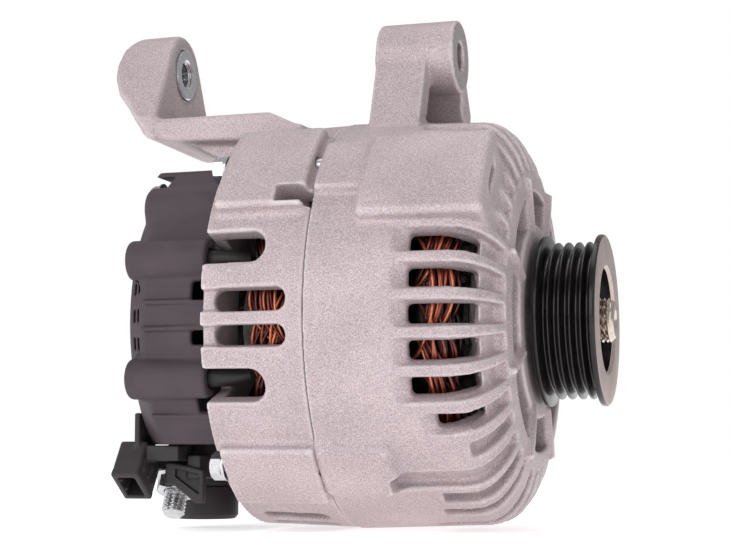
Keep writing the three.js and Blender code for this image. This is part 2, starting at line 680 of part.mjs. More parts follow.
const nutBack = pulleyFloor + GAP;
const nutBore = shaft.threadRadius + GAP;
part(
  'pulley_nut',
  cut(
    join([
      ring(nutBack, nutBack + 2, 0, pulleyNut.washer),
      hexagon(nutBack + 1, nutBack + pulleyNut.height, pulleyNut.acrossFlats),
    ]),
    [rod(nutBack - 1, nutBack + pulleyNut.height + 1, nutBore, 0, 0, MEDIUM)],
  ),
  'steel',
);

// ---------------------------------------------------------------- brushes

const brushRest = slipRing.radius + GAP;
const springBase = brushRest + brush.length + GAP;
const holder = { back: -60, front: -44.5, half: 5, bottom: 11, top: springBase + brush.springLength + 2.7 };
const brushCentres = [slipRing.first, slipRing.second].map((back) => back + slipRing.width / 2);

function brushHolder() {
  const block = box([holder.back, -holder.half, holder.bottom], [holder.front, holder.half, holder.top]);
  const pockets = brushCentres.map((x) => box(
    [x - brush.width / 2 - GAP, -brush.depth / 2 - GAP, holder.bottom - 1],
    [x + brush.width / 2 + GAP, brush.depth / 2 + GAP, springBase + brush.springLength + GAP],
  ));
  return cut(block, pockets);
}

// A coil spring that stands along Z.
function coilSpring(x, z0, length) {
  const turns = 4;
  const radius = brush.width / 2 - brush.wire - 0.1;
  class Helix extends THREE.Curve {
    getPoint(t, target = new THREE.Vector3()) {
      const angle = TURN * turns * t;
      return target.set(
        x + radius * Math.cos(angle),
        radius * Math.sin(angle),
        z0 + brush.wire + (length - 2 * brush.wire) * t,
      );
    }
  }
  const section = new THREE.Shape();
  section.absarc(0, 0, brush.wire, 0, TURN);
  const geometry = new THREE.ExtrudeGeometry(section, {
    steps: turns * 8, bevelEnabled: false, curveSegments: 2, extrudePath: new Helix(),
  });
  return solid(geometry);
}

part('brush_holder', brushHolder(), 'blackPlastic');
brushCentres.forEach((x, i) => {
  const block = box(
    [x - brush.width / 2, -brush.depth / 2, brushRest],
    [x + brush.width / 2, brush.depth / 2, brushRest + brush.length],
  );
  part(`brush_${i + 1}`, block, 'carbon');
  part(`brush_spring_${i + 1}`, coilSpring(x, springBase, brush.springLength), 'zinc');
});

// ---------------------------------------------------------------- rectifier

const plate = {
  inner: 26, outer: cover.radius - 5.5, thickness: 2.2, negative: -40.6, positive: -46.5, from: -38, to: 150,
};
const diodeCircle = { negative: 40, positive: 43 };

function heatSink(back, inner, outer) {
  const whole = sector(inner, outer, plate.from, plate.to, back, back + plate.thickness);
  const top = cover.flat - cover.wall - 1;
  const room = box([back - 1, -outer, -outer], [back + plate.thickness + 1, outer, top]);
  return whole.intersect(room);
}

const negativeAngles = [0, 52, 104];
const positiveAngles = [26, 78, 130];
const diodeRadius = 6;
function drilled(made, angles, circle, back) {
  const [low, high] = [back - 1, back + plate.thickness + 1];
  return cut(made, [
    ...angles.map((a) => rod(low, high, diodeRadius + GAP, ...polar(circle, a), COARSE)),
    ...screwAngles.map((a) => rod(low, high, screwRadius + 0.5, ...polar(screwCircle, a), SMALL)),
  ]);
}
const negativePlate = heatSink(plate.negative, plate.inner, plate.outer);
const positivePlate = heatSink(plate.positive, holder.top + 1, plate.outer - 1.5);
part(
  'negative_heatsink',
  drilled(negativePlate, negativeAngles, diodeCircle.negative, plate.negative),
  'aluminium',
);
part(
  'positive_heatsink',
  drilled(positivePlate, positiveAngles, diodeCircle.positive, plate.positive),
  'aluminium',
);
const diodes = (name, angles, circle, back) => angles.forEach((angle, i) => {
  const at = polar(circle, angle);
  const can = rod(back - 0.8, back + plate.thickness + 0.9, diodeRadius, ...at, COARSE);
  part(`${name}_${i + 1}`, join([can, rod(back - 2.8, back, 0.9, ...at, SMALL)]), 'zinc');
});
diodes('negative_diode', negativeAngles, diodeCircle.negative, plate.negative);
diodes('positive_diode', positiveAngles, diodeCircle.positive, plate.positive);

// ---------------------------------------------------------------- cover, regulator and terminal

const coverFront = rearFace - 2 * GAP;
const pocket = { radius: 6.6, back: -64 };
const dome = 4.2; // how far the middle of the cover stands out behind
const doorTop = -41.5;

function rearCover() {
  const { wall } = cover;
  const outer = [
    [coverFront, cover.radius], [cover.bevelStart, cover.backRadius], [cover.back, cover.bevelRadius],
    [cover.back, 15], [cover.back - 3, 13], [cover.back - dome, 9], [cover.back - dome, 0],
  ];
  const inner = [
    [cover.back - dome + wall, 0], [cover.back - dome + wall, 7.5], [cover.back - 3 + wall, 10.8],
    [cover.back + wall, 13], [cover.back + wall, cover.bevelRadius - 1],
    [cover.bevelStart + 1, cover.backRadius - wall], [coverFront, cover.radius - wall],
  ];
  // The cover is flat on top, where the arm passes over it.
  const under = (height) => box([-90, -90, -90], [0, 90, height]);
  const outerSolid = turned([[coverFront, 0], ...outer]).intersect(under(cover.flat));
  const room = turned([...inner, [coverFront + 1, cover.radius - wall], [coverFront + 1, 0]]);
  const innerSolid = room.intersect(under(cover.flat - wall));
  const pockets = LEAD_ANGLES.map((angle) => rod(
    pocket.back, coverFront, pocket.radius, ...polar(LEAD_CIRCLE + 0.5, angle), COARSE,
  ));
  const hollows = LEAD_ANGLES.map((angle) => rod(
    leadBack - 1, coverFront + 1, LEAD_RADIUS + 0.8, ...polar(LEAD_CIRCLE, angle), COARSE,
  ));
  const vents = [];
  for (let i = 0; i < 10; i += 1) {
    if (i !== 6 && i !== 7) {
      vents.push(sector(22, 40, i * 36 - 3.5, i * 36 + 3.5, cover.back - 2, cover.back + 4));
    }
  }
  const screwHoles = screwAngles.map((angle) => rod(
    cover.back - 1, cover.back + 4, screwRadius + 0.4, ...polar(screwCircle, angle), SMALL,
  ));
  // The cover is open round the regulator's socket and the terminal.
  const doorway = alongX(
    [[-12, doorTop], [-12, -46], [14, -46], [14, -80], [-80, -80], [-80, doorTop]],
    cover.back - 1, coverFront + 1,
  );
  return cut(join([outerSolid, ...pockets]), [innerSolid, ...hollows, ...vents, ...screwHoles, doorway]);
}

part('rear_cover', rearCover(), 'coverPlastic');

screwAngles.forEach((angle, i) => {
  const at = polar(screwCircle, angle);
  const face = cover.back - GAP;
  part(
    `cover_screw_${i + 1}`,
    join([hexagon(face - 4, face, 8, ...at), rod(face - 1, rearFace + 3, screwRadius, ...at, SMALL)]),
    'zinc',
  );
});

// The regulator carries the connector socket, which stands out of the cover beside the terminal.
const socket = {
  angle: 235, back: -74.2, front: -64.4, low: -4.5, high: 10, root: 56, floor: 60, mouth: 70, wall: 1.8,
};

function regulator() {
  const housing = box([-63.2, -31, -36], [-51, 6, -12]);
  const neck = box([-59, -35, -46], [-53, -29, -30]);
  const { back, front, low, high, wall } = socket;
  const bridge = box([back + 1, -41, -47], [-53, -30, doorTop - GAP]);
  const flange = box([cover.back - 2.2, -42, -46], [cover.back - GAP, -28, -31]);
  const outline = [[back, low], [front, low], [front, high], [back, high]];
  const shroud = radialPrism(outline, socket.angle, socket.root, socket.mouth);
  const hollow = radialPrism(
    [
      [back + wall, low + wall], [front - wall, low + wall],
      [front - wall, high - wall], [back + wall, high - wall],
    ],
    socket.angle, socket.floor, socket.mouth + 1,
  );
  return cut(join([housing, neck, bridge, flange, shroud]), [hollow]);
}

part('regulator', regulator(), 'blackPlastic');

// A cylinder that points outwards from the shaft axis.
function radialRod(x, degrees, r0, r1, radius, segments) {
  const upright = new THREE.CylinderGeometry(radius, radius, r1 - r0, segments);
  return solid(upright.translate(0, (r0 + r1) / 2, 0).rotateX(radians(degrees))).translate([x, 0, 0]);
}

const seat = 56;
const nut = { base: seat + GAP, washer: 8.4, acrossFlats: 13, height: 6.5 };
const blockOutline = (x0, x1) => [[x0, -7.5], [x1, -7.5], [x1, 7], [x0, 7]];
const guardOutline = [[-60, -47.5], [-57, -47.5], [-46, -50], [-46, -61], [-49, -61], [-57, -55], [-60, -55]];
part(
  'b_plus_insulator',
  cut(
    join([
      radialPrism(blockOutline(-63.2, -50), stud.angle, 44, 51),
      radialPrism(blockOutline(-69, -53), stud.angle, 50, seat),
      alongY(guardOutline, -36, -33),
      box([-52.3, -35, -53], [-47.5, -22, -45]),
    ]),
    [radialRod(stud.x, stud.angle, 43, seat + 1, stud.radius + GAP, 20)],
  ),
  'blackPlastic',
);
part('b_plus_stud', radialRod(stud.x, stud.angle, stud.base, stud.tip, stud.radius, 20), 'zinc');
part(
  'b_plus_nut',
  cut(
    join([
      radialRod(stud.x, stud.angle, nut.base, nut.base + 1.2, nut.washer, 24),
      radialRod(stud.x, stud.angle, nut.base + 1, nut.base + nut.height, nut.acrossFlats / Math.sqrt(3), 6),
    ]),
    [radialRod(stud.x, stud.angle, seat, seat + 8, stud.radius + GAP, 20)],
  ),
  'zinc',
);

// The suppression capacitor's round can hangs below the cover, behind the terminal.
const capacitor = { x: -59.5, y: 0.5, radius: 11.5, top: -49, bottom: -67.5, sides: 28 };
const upright = (radius, low, high, segments) => solid(
  new THREE.CylinderGeometry(radius, radius, high - low, segments).rotateX(Math.PI / 2)
    .translate(capacitor.x, capacitor.y, (low + high) / 2),
);
part(
  'capacitor',
  join([
    upright(capacitor.radius - 1, capacitor.bottom, capacitor.top, capacitor.sides),
    upright(capacitor.radius, capacitor.bottom + 1.5, capacitor.top, capacitor.sides),
    upright(3.5, capacitor.top - 1, -40, capacitor.sides / 2),
  ]),
  'blackPlastic',
);

const group = new THREE.Group();
shaftFrame.position.set(-lug.front, 0, -lug.z);
group.add(shaftFrame);

export default group;
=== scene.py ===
# %% [markdown]
# A car alternator, dressed for looks. The CAD model that is loaded here knows where every part sits and
# how it moves. This script keeps those places and gives each part the surface that the real one has:
# rounded sand-blasted castings, coated steel, enamelled copper wire, moulded plastic.

import math

import bpy
import numpy as np
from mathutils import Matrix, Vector


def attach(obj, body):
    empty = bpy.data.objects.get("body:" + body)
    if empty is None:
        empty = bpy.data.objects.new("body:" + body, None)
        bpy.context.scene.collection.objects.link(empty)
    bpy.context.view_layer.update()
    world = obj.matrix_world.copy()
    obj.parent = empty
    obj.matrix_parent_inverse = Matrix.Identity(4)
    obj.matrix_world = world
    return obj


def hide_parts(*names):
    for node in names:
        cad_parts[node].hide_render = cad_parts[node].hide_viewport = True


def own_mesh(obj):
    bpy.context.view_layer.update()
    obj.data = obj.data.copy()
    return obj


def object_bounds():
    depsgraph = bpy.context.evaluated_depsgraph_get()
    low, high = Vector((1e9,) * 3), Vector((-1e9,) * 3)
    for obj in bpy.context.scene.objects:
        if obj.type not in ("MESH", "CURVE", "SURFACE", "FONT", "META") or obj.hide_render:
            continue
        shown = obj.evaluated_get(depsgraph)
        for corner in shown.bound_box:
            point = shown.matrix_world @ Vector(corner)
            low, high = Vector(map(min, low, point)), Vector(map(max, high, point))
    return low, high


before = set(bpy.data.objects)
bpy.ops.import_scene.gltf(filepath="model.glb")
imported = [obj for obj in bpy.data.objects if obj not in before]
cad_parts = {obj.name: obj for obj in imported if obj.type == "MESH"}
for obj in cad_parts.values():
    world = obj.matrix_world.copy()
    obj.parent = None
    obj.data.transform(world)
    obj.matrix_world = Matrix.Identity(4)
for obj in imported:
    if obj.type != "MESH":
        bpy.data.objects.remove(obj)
cad_low, cad_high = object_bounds()
print("CAD box, metres:", [round(v, 4) for v in cad_high - cad_low])

# %% [markdown]
# The parts are drawn in millimetres about the shaft: X along the shaft towards the pulley, Z up, and X = 0
# where the two brackets meet. The frame has its origin in the mounting lug, so every finished mesh is
# moved by the same step and turned into metres, and its object stays at the origin.

# %% Sizes and places, in millimetres about the shaft
TO_FRAME = np.array([-34.7, 0.0, -93.33])
BRACKET_RADIUS = 70.15
LUG_HEIGHT = 93.33
BOLT_CIRCLE = 68.7
FAR = 6.0


def placed(points):
    """Millimetres about the shaft become metres in the frame: add the step, divide by a thousand."""
    return (np.asarray(points, float) + TO_FRAME) / 1000.0


def polar(radius, degrees):
    """The (y, z) pair at a radius and an angle about the shaft, 90 degrees being up."""
    turn = np.radians(degrees)
    return radius * np.cos(turn), radius * np.sin(turn)


print("lug axis above the shaft:", LUG_HEIGHT, "mm")

# %% [markdown]
# The camera stands low and a little to the pulley's side, and looks slightly up. A long lens keeps the
# ellipse of the pulley as narrow as it looks from a few steps away.

# %% Camera
CAMERA_AZIMUTH = math.radians(16.5)
CAMERA_ELEVATION = math.radians(-5.97)
CAMERA_DISTANCE = 0.59304
CAMERA_TARGET = Vector((-0.0347, 0.0, -0.07542))

camera_data = bpy.data.cameras.new("camera")
camera_data.sensor_width = 36.0
camera_data.lens = 83.12
camera_data.clip_start = 0.05
camera_data.clip_end = 30.0
camera = bpy.data.objects.new("camera", camera_data)
bpy.context.scene.collection.objects.link(camera)
backwards = Vector(
    (
        math.sin(CAMERA_AZIMUTH) * math.cos(CAMERA_ELEVATION),
        -math.cos(CAMERA_AZIMUTH) * math.cos(CAMERA_ELEVATION),
        math.sin(CAMERA_ELEVATION),
    )
)
camera.location = CAMERA_TARGET + backwards * CAMERA_DISTANCE
camera.rotation_mode = "QUATERNION"
camera.rotation_quaternion = (-backwards).to_track_quat("-Z", "Y")
bpy.context.scene.camera = camera
bpy.context.scene.view_settings.view_transform = "Standard"
print("camera at", [round(v, 3) for v in camera.location])

# %% [markdown]
# Every surface here is one of three kinds. A shape that is turned or wrapped about a line is a grid of
# rings. A bundle is many thin tubes in one mesh. A casting has too many blends for either, so it is
# worked out as a field of distances, the way clay is added and scraped away, and a skin is laid over it.
# All three end in the same two helpers, which hand whole arrays to a mesh.


# %% Helpers that make a mesh and an object
def signed_volume(points, quads):
    """The volume that a closed skin of quads holds, negative when the faces point inwards."""
    a, b, c, d = (points[quads[:, i]] for i in range(4))
    first = np.einsum("ij,ij->i", a, np.cross(b, c))
    second = np.einsum("ij,ij->i", a, np.cross(c, d))
    return (first.sum() + second.sum()) / 6.0


def mesh_of(name, points, quads):
    """A mesh from arrays of points in millimetres and of quads. A quad whose last two corners are the
    same point becomes a triangle."""
    if signed_volume(points, quads) < 0:
        quads = quads[:, ::-1]
        quads = np.where((quads[:, 0] == quads[:, 1])[:, None], np.roll(quads, -2, 1), quads)
    threes = quads[:, 2] == quads[:, 3]
    sizes = np.where(threes, 3, 4)
    keep = np.ones(quads.shape, bool)
    keep[:, 3] = ~threes
    corners = quads[keep]
    mesh = bpy.data.meshes.new(name)
    mesh.vertices.add(len(points))
    mesh.vertices.foreach_set("co", placed(points).astype(np.float32).ravel())
    mesh.loops.add(len(corners))
    mesh.loops.foreach_set("vertex_index", corners.astype(np.int32))
    mesh.polygons.add(len(quads))
    starts = np.concatenate([[0], np.cumsum(sizes)[:-1]])
    mesh.polygons.foreach_set("loop_start", starts.astype(np.int32))
    mesh.polygons.foreach_set("use_smooth", np.ones(len(quads), bool))
    mesh.update(calc_edges=True)
    mesh.validate()
    return mesh


def finished(name, mesh, finish, body, stands_for=(), sharp=None):
    """An object for a finished mesh, with its material, riding on its body."""
    made = bpy.data.objects.new(name, mesh)
    bpy.context.scene.collection.objects.link(made)
    mesh.materials.clear()
    for one in finish if isinstance(finish, (list, tuple)) else [finish]:
        mesh.materials.append(one)
    if sharp is not None:
        mesh.set_sharp_from_angle(angle=math.radians(sharp))
    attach(made, body)
    if stands_for:
        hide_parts(*stands_for)
    return made


# %% Helpers that wrap rings into a skin
def wrapped(rings, closed=False):
    """Points and quads of a skin over rings, an array of n rings of m points. The rings are joined one
    to the next, and the last to the first if closed. Otherwise each end is closed by a fan of triangles
    about the ring's middle."""
    rings = np.asarray(rings, float)
    count, around = rings.shape[:2]
    points = rings.reshape(-1, 3)
    rows = np.arange(count if closed else count - 1)[:, None]
    here = np.arange(around)[None, :]
    there = (here + 1) % around
    below = (rows + 1) % count
    quads = np.stack(
        [rows * around + here, rows * around + there, below * around + there, below * around + here], -1
    ).reshape(-1, 4)
    if closed:
        return points, quads
    ends = np.array([rings[0].mean(0), rings[-1].mean(0)])
    base = len(points)
    first = np.arange(around)
    second = (first + 1) % around
    last = (count - 1) * around
    start_fan = np.stack([second, first, np.full(around, base), np.full(around, base)], -1)
    end_fan = np.stack([last + first, last + second, np.full(around, base + 1), np.full(around, base + 1)], -1)
    return np.vstack([points, ends]), np.vstack([quads, start_fan, end_fan])


def axes_of(direction):
    """Two directions square to a direction and to each other."""
    along = np.asarray(direction, float)
    along = along / np.linalg.norm(along)
    helper = np.array([0.0, 0.0, 1.0]) if abs(along[2]) < 0.9 else np.array([1.0, 0.0, 0.0])
    across = np.cross(helper, along)
    across /= np.linalg.norm(across)
    return along, across, np.cross(along, across)


def rings_about(origin, direction, distance, radius, angles):
    """Rings round a line: origin + distance along it + radius at each angle across it. Distance is one
    number a ring, and radius is one number a ring or a row of them."""
    along, across, up = axes_of(direction)
    distance = np.asarray(distance, float)
    radius = np.asarray(radius, float)
    if radius.ndim == 1:
        radius = radius[:, None] * np.ones(len(angles))
    reach = distance if distance.ndim == 2 else distance[:, None] * np.ones(len(angles))
    return (
        np.asarray(origin, float)
        + reach[..., None] * along
        + radius[..., None] * (np.cos(angles)[:, None] * across + np.sin(angles)[:, None] * up)
    )


def round_corners(corners, radius, steps=5, closed=True):
    """A polygon whose corners are arcs. Each arc starts and ends at the same distance from its corner,
    radius / tan(half the corner's angle), and never past the middle of a side."""
    corners = np.asarray(corners, float)
    radii = np.broadcast_to(np.asarray(radius, float), len(corners))
    out = []
    for i, here in enumerate(corners):
        if not closed and i in (0, len(corners) - 1):
            out.append(here[None])
            continue
        before, after = corners[i - 1], corners[(i + 1) % len(corners)]
        u, v = before - here, after - here
        lu, lv = np.linalg.norm(u), np.linalg.norm(v)
        u, v = u / lu, v / lv
        half = math.acos(np.clip(u @ v, -1, 1)) / 2
        if radii[i] <= 0 or half > math.radians(88) or half < 1e-3:
            out.append(here[None])
            continue
        reach = min(radii[i] / math.tan(half), 0.49 * lu, 0.49 * lv)
        arc = reach * math.tan(half)
        centre = here + (u + v) / np.linalg.norm(u + v) * math.hypot(reach, arc)
        a, b = here + u * reach - centre, here + v * reach - centre
        share = np.linspace(0, 1, steps)[:, None]
        span = math.pi - 2 * half
        weight_a, weight_b = np.sin((1 - share) * span), np.sin(share * span)
        out.append(centre + (weight_a * a + weight_b * b) / math.sin(span))
    return np.vstack(out)


def turned(profile, sides=192, radius=0.3, closed=True, origin=(0, 0, 0), direction=(1, 0, 0)):
    """A skin turned about a line from a profile of (distance, radius) corners, rounded a little."""
    line = round_corners(profile, radius, closed=closed)
    angles = np.linspace(0, 2 * np.pi, sides, endpoint=False)
    return wrapped(rings_about(origin, direction, line[:, 0], line[:, 1], angles), closed=closed)


def joined(*skins):
    """Several skins as one list of points and quads."""
    shift = np.cumsum([0] + [len(points) for points, _ in skins[:-1]])
    return (
        np.vstack([points for points, _ in skins]),
        np.vstack([quads + s for (_, quads), s in zip(skins, shift)]),
    )


print("helpers for wrapped skins are ready")

# %% [markdown]
# Clay. A grid holds, at each point, the distance to the casting's surface: below zero inside, above zero
# outside. Adding a shape takes the smaller of two distances and carving takes the larger of one and
# minus the other. When the two are mixed smoothly near where they are equal, a fillet appears, as a
# foundry pattern has at every inner corner. Each shape is worked out only in the box that it touches.


# %% Clay: distances on a grid
def soft_min(a, b, blend):
    """The smaller of two distances, with a fillet of about the blend's size where they are equal."""
    if blend <= 0:
        return np.minimum(a, b)
    near = np.maximum(blend - np.abs(a - b), 0) / blend
    return np.minimum(a, b) - near * near * blend / 4


class Clay:
    """A lump of clay: distances on a grid of a given step between two corners."""

    def __init__(self, low, high, step):
        counts = [int(math.ceil((b - a) / step)) + 1 for a, b in zip(low, high)]
        self.step = step
        self.axes = [a + step * np.arange(n) for a, n in zip(low, counts)]
        self.value = np.full(counts, FAR, np.float32)

    def work(self, shape, box, blend, sign):
        spans = []
        for axis, a, b in zip(self.axes, box[0], box[1]):
            first = max(int(np.searchsorted(axis, a)) - 1, 0)
            last = min(int(np.searchsorted(axis, b)) + 1, len(axis))
            if last <= first:
                return
            spans.append(slice(first, last))
        x = self.axes[0][spans[0]][:, None, None]
        y = self.axes[1][spans[1]][None, :, None]
        z = self.axes[2][spans[2]][None, None, :]
        spans = tuple(spans)
        distance = shape(x, y, z).astype(np.float32)
        here = self.value[spans]
        if sign > 0:
            self.value[spans] = soft_min(here, distance, blend)
        else:
            self.value[spans] = -soft_min(-here, distance, blend)

    def add(self, shape, blend=0.0):
        self.work(shape[0], grown(shape[1], blend + 2.5 * self.step), blend, 1)

    def carve(self, shape, blend=0.0):
        self.work(shape[0], grown(shape[1], blend + 2.5 * self.step), blend, -1)


def grown(box, by):
    """A box made larger on every side."""
    return [c - by for c in box[0]], [c + by for c in box[1]]


def corner_round(parts, radius):
    """The distance to a shape that is the overlap of slabs, from the distances to each slab, with its
    edges rounded: the length of what is outside, less the radius."""
    shifted = [p + radius for p in parts]
    outside = sum(np.maximum(p, 0) ** 2 for p in shifted)
    inside = shifted[0]
    for p in shifted[1:]:
        inside = np.maximum(inside, p)
    return np.sqrt(outside) + np.minimum(inside, 0) - radius


def polygon_distance(corners, u, v):
    """The distance from points to a polygon's edge, below zero inside: the nearest point of each side,
    and a sign that flips at each side the point's level line crosses."""
    corners = np.asarray(corners, float)
    best = np.full(np.broadcast(u, v).shape, np.inf)
    sign = np.ones(best.shape)
    before = corners[-1]
    for here in corners:
        side = before - here
        du, dv = u - here[0], v - here[1]
        t = np.clip((du * side[0] + dv * side[1]) / (side @ side), 0, 1)
        best = np.minimum(best, (du - side[0] * t) ** 2 + (dv - side[1] * t) ** 2)
        above, under = v >= here[1], v < before[1]
        left = side[0] * dv > side[1] * du
        sign = np.where((above & under & left) | (~above & ~under & ~left), -sign, sign)
        before = here
    return sign * np.sqrt(best)


# %% Clay: the shapes that are added and carved
def polar_box(x0, x1, r0, r1, a0, a1):
    """The box round a block of a ring."""
    angles = np.linspace(a0, a1, 25)
    ys, zs = zip(polar(r0, angles), polar(r1, angles))
    return [x0, np.min(ys), np.min(zs)], [x1, np.max(ys), np.max(zs)]


def ring_block(x0, x1, r0, r1, a0, a1, radius=0.5):
    """A block of a ring between two X positions, two radii and two angles."""
    middle = (a0 + a1) / 2

    def shape(x, y, z):
        r = np.hypot(y, z)
        off = (np.degrees(np.arctan2(z, y)) - middle + 180) % 360 - 180
        sides = (np.abs(off) - (a1 - a0) / 2) * np.pi / 180 * r
        return corner_round(
            [np.abs(x - (x0 + x1) / 2) - (x1 - x0) / 2, np.abs(r - (r0 + r1) / 2) - (r1 - r0) / 2, sides], radius
        )

    return shape, polar_box(x0, x1, r0, r1, a0, a1)


def turned_clay(profile, x0, x1, r1):
    """A solid turned from a polygon of (x, radius) corners. Distances are worked out once on a flat
    table and read off by radius."""
    step = 0.25
    radii = np.arange(0, r1 + 8, step)

    def shape(x, y, z):
        table = polygon_distance(profile, x[:, 0, 0][:, None], radii[None, :]).astype(np.float32)
        place = np.minimum(np.hypot(y, z)[0] / step, len(radii) - 2.001)
        low = place.astype(int)
        share = (place - low).astype(np.float32)
        return table[:, low] * (1 - share) + table[:, low + 1] * share

    return shape, ([x0, -r1, -r1], [x1, r1, r1])


def slab(outline, axis, low, high, radius=0.5):
    """An outline pushed along X ('x', outline in y, z) or along Y ('y', outline in x, z) or along Z
    ('z', outline in x, y), with rounded edges."""
    outline = np.asarray(outline, float)
    (u0, v0), (u1, v1) = outline.min(0), outline.max(0)

    def shape(x, y, z):
        u, v, w = {"x": (y, z, x), "y": (x, z, y), "z": (x, y, z)}[axis]
        flat = polygon_distance(outline, u, v)
        return corner_round([flat, np.abs(w - (low + high) / 2) - (high - low) / 2], radius)

    corners = {
        "x": ([low, u0, v0], [high, u1, v1]),
        "y": ([u0, low, v0], [u1, high, v1]),
        "z": ([u0, v0, low], [u1, v1, high]),
    }
    return shape, corners[axis]


def bar(start, end, radius, edge=0.3):
    """A round bar between two points, with rounded ends."""
    start, end = np.asarray(start, float), np.asarray(end, float)
    length = np.linalg.norm(end - start)
    along = (end - start) / length

    def shape(x, y, z):
        dx, dy, dz = x - start[0], y - start[1], z - start[2]
        t = dx * along[0] + dy * along[1] + dz * along[2]
        across = np.sqrt(np.maximum(dx * dx + dy * dy + dz * dz - t * t, 0))
        return corner_round([np.abs(t - length / 2) - length / 2, across - radius], edge)

    reach = radius + edge
    return shape, (np.minimum(start, end) - reach, np.maximum(start, end) + reach)


def block(low, high, radius=0.5):
    """A box with rounded edges."""
    low, high = np.asarray(low, float), np.asarray(high, float)
    middle, half = (low + high) / 2, (high - low) / 2

    def shape(x, y, z):
        return corner_round([np.abs(p - m) - h for p, m, h in zip((x, y, z), middle, half)], radius)

    return shape, (low, high)


def outward_slot(x0, x1, angle, half, r0, r1, draft=0.0, corner=None, ramp=0.0):
    """A slot along the shaft that is pushed outwards at an angle. Its outline is a rounded oblong. Each
    millimetre further out it is wider by draft on each side and longer by ramp at its back end."""
    ny, nz = polar(1.0, angle)
    corner = half * 0.98 if corner is None else corner

    def shape(x, y, z):
        out = y * ny + z * nz
        across = np.abs(z * ny - y * nz) - half - draft * (out - r0)
        along = np.maximum(x0 - ramp * (out - r0) - x, x - x1)
        outline = corner_round([along, across], corner)
        return corner_round([outline, np.abs(out - (r0 + r1) / 2) - (r1 - r0) / 2], 0.2)

    wide = half + draft * (r1 - r0) + 1
    spread = math.degrees(wide / r0)
    low, high = polar_box(x0 - ramp * (r1 - r0), x1, r0, r1 + 1, angle - spread, angle + spread)
    return shape, (low, high)


# %% Clay: the skin
CELL_EDGES = [
    ((0, 0, 0), (1, 0, 0)), ((0, 1, 0), (1, 1, 0)), ((0, 0, 1), (1, 0, 1)), ((0, 1, 1), (1, 1, 1)),
    ((0, 0, 0), (0, 1, 0)), ((1, 0, 0), (1, 1, 0)), ((0, 0, 1), (0, 1, 1)), ((1, 0, 1), (1, 1, 1)),
    ((0, 0, 0), (0, 0, 1)), ((1, 0, 0), (1, 0, 1)), ((0, 1, 0), (0, 1, 1)), ((1, 1, 0), (1, 1, 1)),
]


def skin_of(clay):
    """The clay's surface. Each cell that the surface passes through gets one point, the mean of where the
    surface cuts the cell's edges, and each grid edge that it cuts gets a quad between its four cells."""
    value = clay.value
    inside = value < 0
    nx, ny, nz = value.shape
    total = np.zeros((nx - 1, ny - 1, nz - 1), np.int8)
    for i in (0, 1):
        for j in (0, 1):
            for k in (0, 1):
                total += inside[i : nx - 1 + i, j : ny - 1 + j, k : nz - 1 + k]
    active = (total > 0) & (total < 8)
    number = np.full(active.shape, -1, np.int64)
    cells = np.stack(np.nonzero(active), -1)
    number[active] = np.arange(len(cells))
    sums = np.zeros((len(cells), 3))
    hits = np.zeros(len(cells))
    for a, b in CELL_EDGES:
        va = value[tuple((cells + a).T)]
        vb = value[tuple((cells + b).T)]
        cut = (va < 0) != (vb < 0)
        share = np.where(cut, va / np.where(cut, va - vb, 1), 0)
        sums += cut[:, None] * (np.array(a) + share[:, None] * (np.array(b) - np.array(a)))
        hits += cut
    points = cells + sums / hits[:, None]
    points = np.array([axis[0] for axis in clay.axes]) + points * clay.step
    quads = []
    for axis in range(3):
        second, third = (axis + 1) % 3, (axis + 2) % 3
        ahead = np.roll(inside, -1, axis)
        crossing = inside != ahead
        index = [slice(1, -1)] * 3
        index[axis] = slice(0, -1)
        edges = np.stack(np.nonzero(crossing[tuple(index)]), -1)
        shift = np.ones(3, int)
        shift[axis] = 0
        edges = edges + shift
        step_two, step_three = np.eye(3, dtype=int)[second], np.eye(3, dtype=int)[third]
        ids = [
            number[tuple((edges - step_two - step_three).T)], number[tuple((edges - step_three).T)],
            number[tuple(edges.T)], number[tuple((edges - step_two).T)],
        ]
        quad = np.stack(ids, -1)
        outward = inside[tuple(edges.T)]
        quads.append(np.where(outward[:, None], quad, quad[:, ::-1]))
    return points, np.vstack(quads)


def thinned(mesh, name, triangles):
    """A mesh with no more than a number of triangles. The merging starts where the surface is flattest."""
    mesh.calc_loop_triangles()
    count = len(mesh.loop_triangles)
    if count <= triangles:
        return mesh
    helper = bpy.data.objects.new(name + "_helper", mesh)
    bpy.context.scene.collection.objects.link(helper)
    change = helper.modifiers.new("fewer", "DECIMATE")
    change.ratio = triangles / count
    ready = helper.evaluated_get(bpy.context.evaluated_depsgraph_get())
    thin = bpy.data.meshes.new_from_object(ready)
    bpy.data.objects.remove(helper)
    bpy.data.meshes.remove(mesh)
    thin.name = name
    thin.polygons.foreach_set("use_smooth", np.ones(len(thin.polygons), bool))
    return thin


def clay_mesh(clay, name, triangles):
    """The clay's skin as a mesh of at most so many triangles."""
    points, quads = skin_of(clay)
    made = thinned(mesh_of(name, points, quads), name, triangles)
    print(name, "has", len(made.polygons), "faces from", len(quads), "quads")
    return made


CASTING_STEP = 0.75
PLASTIC_STEP = 0.5
print("clay steps:", CASTING_STEP, PLASTIC_STEP)

# %% [markdown]
# Finishes. The castings are blasted with fine grit, so they are matt with a sparkling grain, a little
# warm in colour, with convex edges lightened as a painted highlight. Each finish mixes noises of several sizes: a slow
# one for tone and a fine one for grain, and the fine one also drives the bump and the roughness.


# %% Helpers for node materials
def blank_material(name):
    """A material with only a surface shader, and its node tree."""
    made = bpy.data.materials.new(name)
    made.use_nodes = True
    tree = made.node_tree
    tree.nodes.clear()
    out = tree.nodes.new("ShaderNodeOutputMaterial")
    shader = tree.nodes.new("ShaderNodeBsdfPrincipled")
    tree.links.new(shader.outputs[0], out.inputs[0])
    return made, tree, shader


def link(tree, source, target):
    tree.links.new(source, target)
    return target


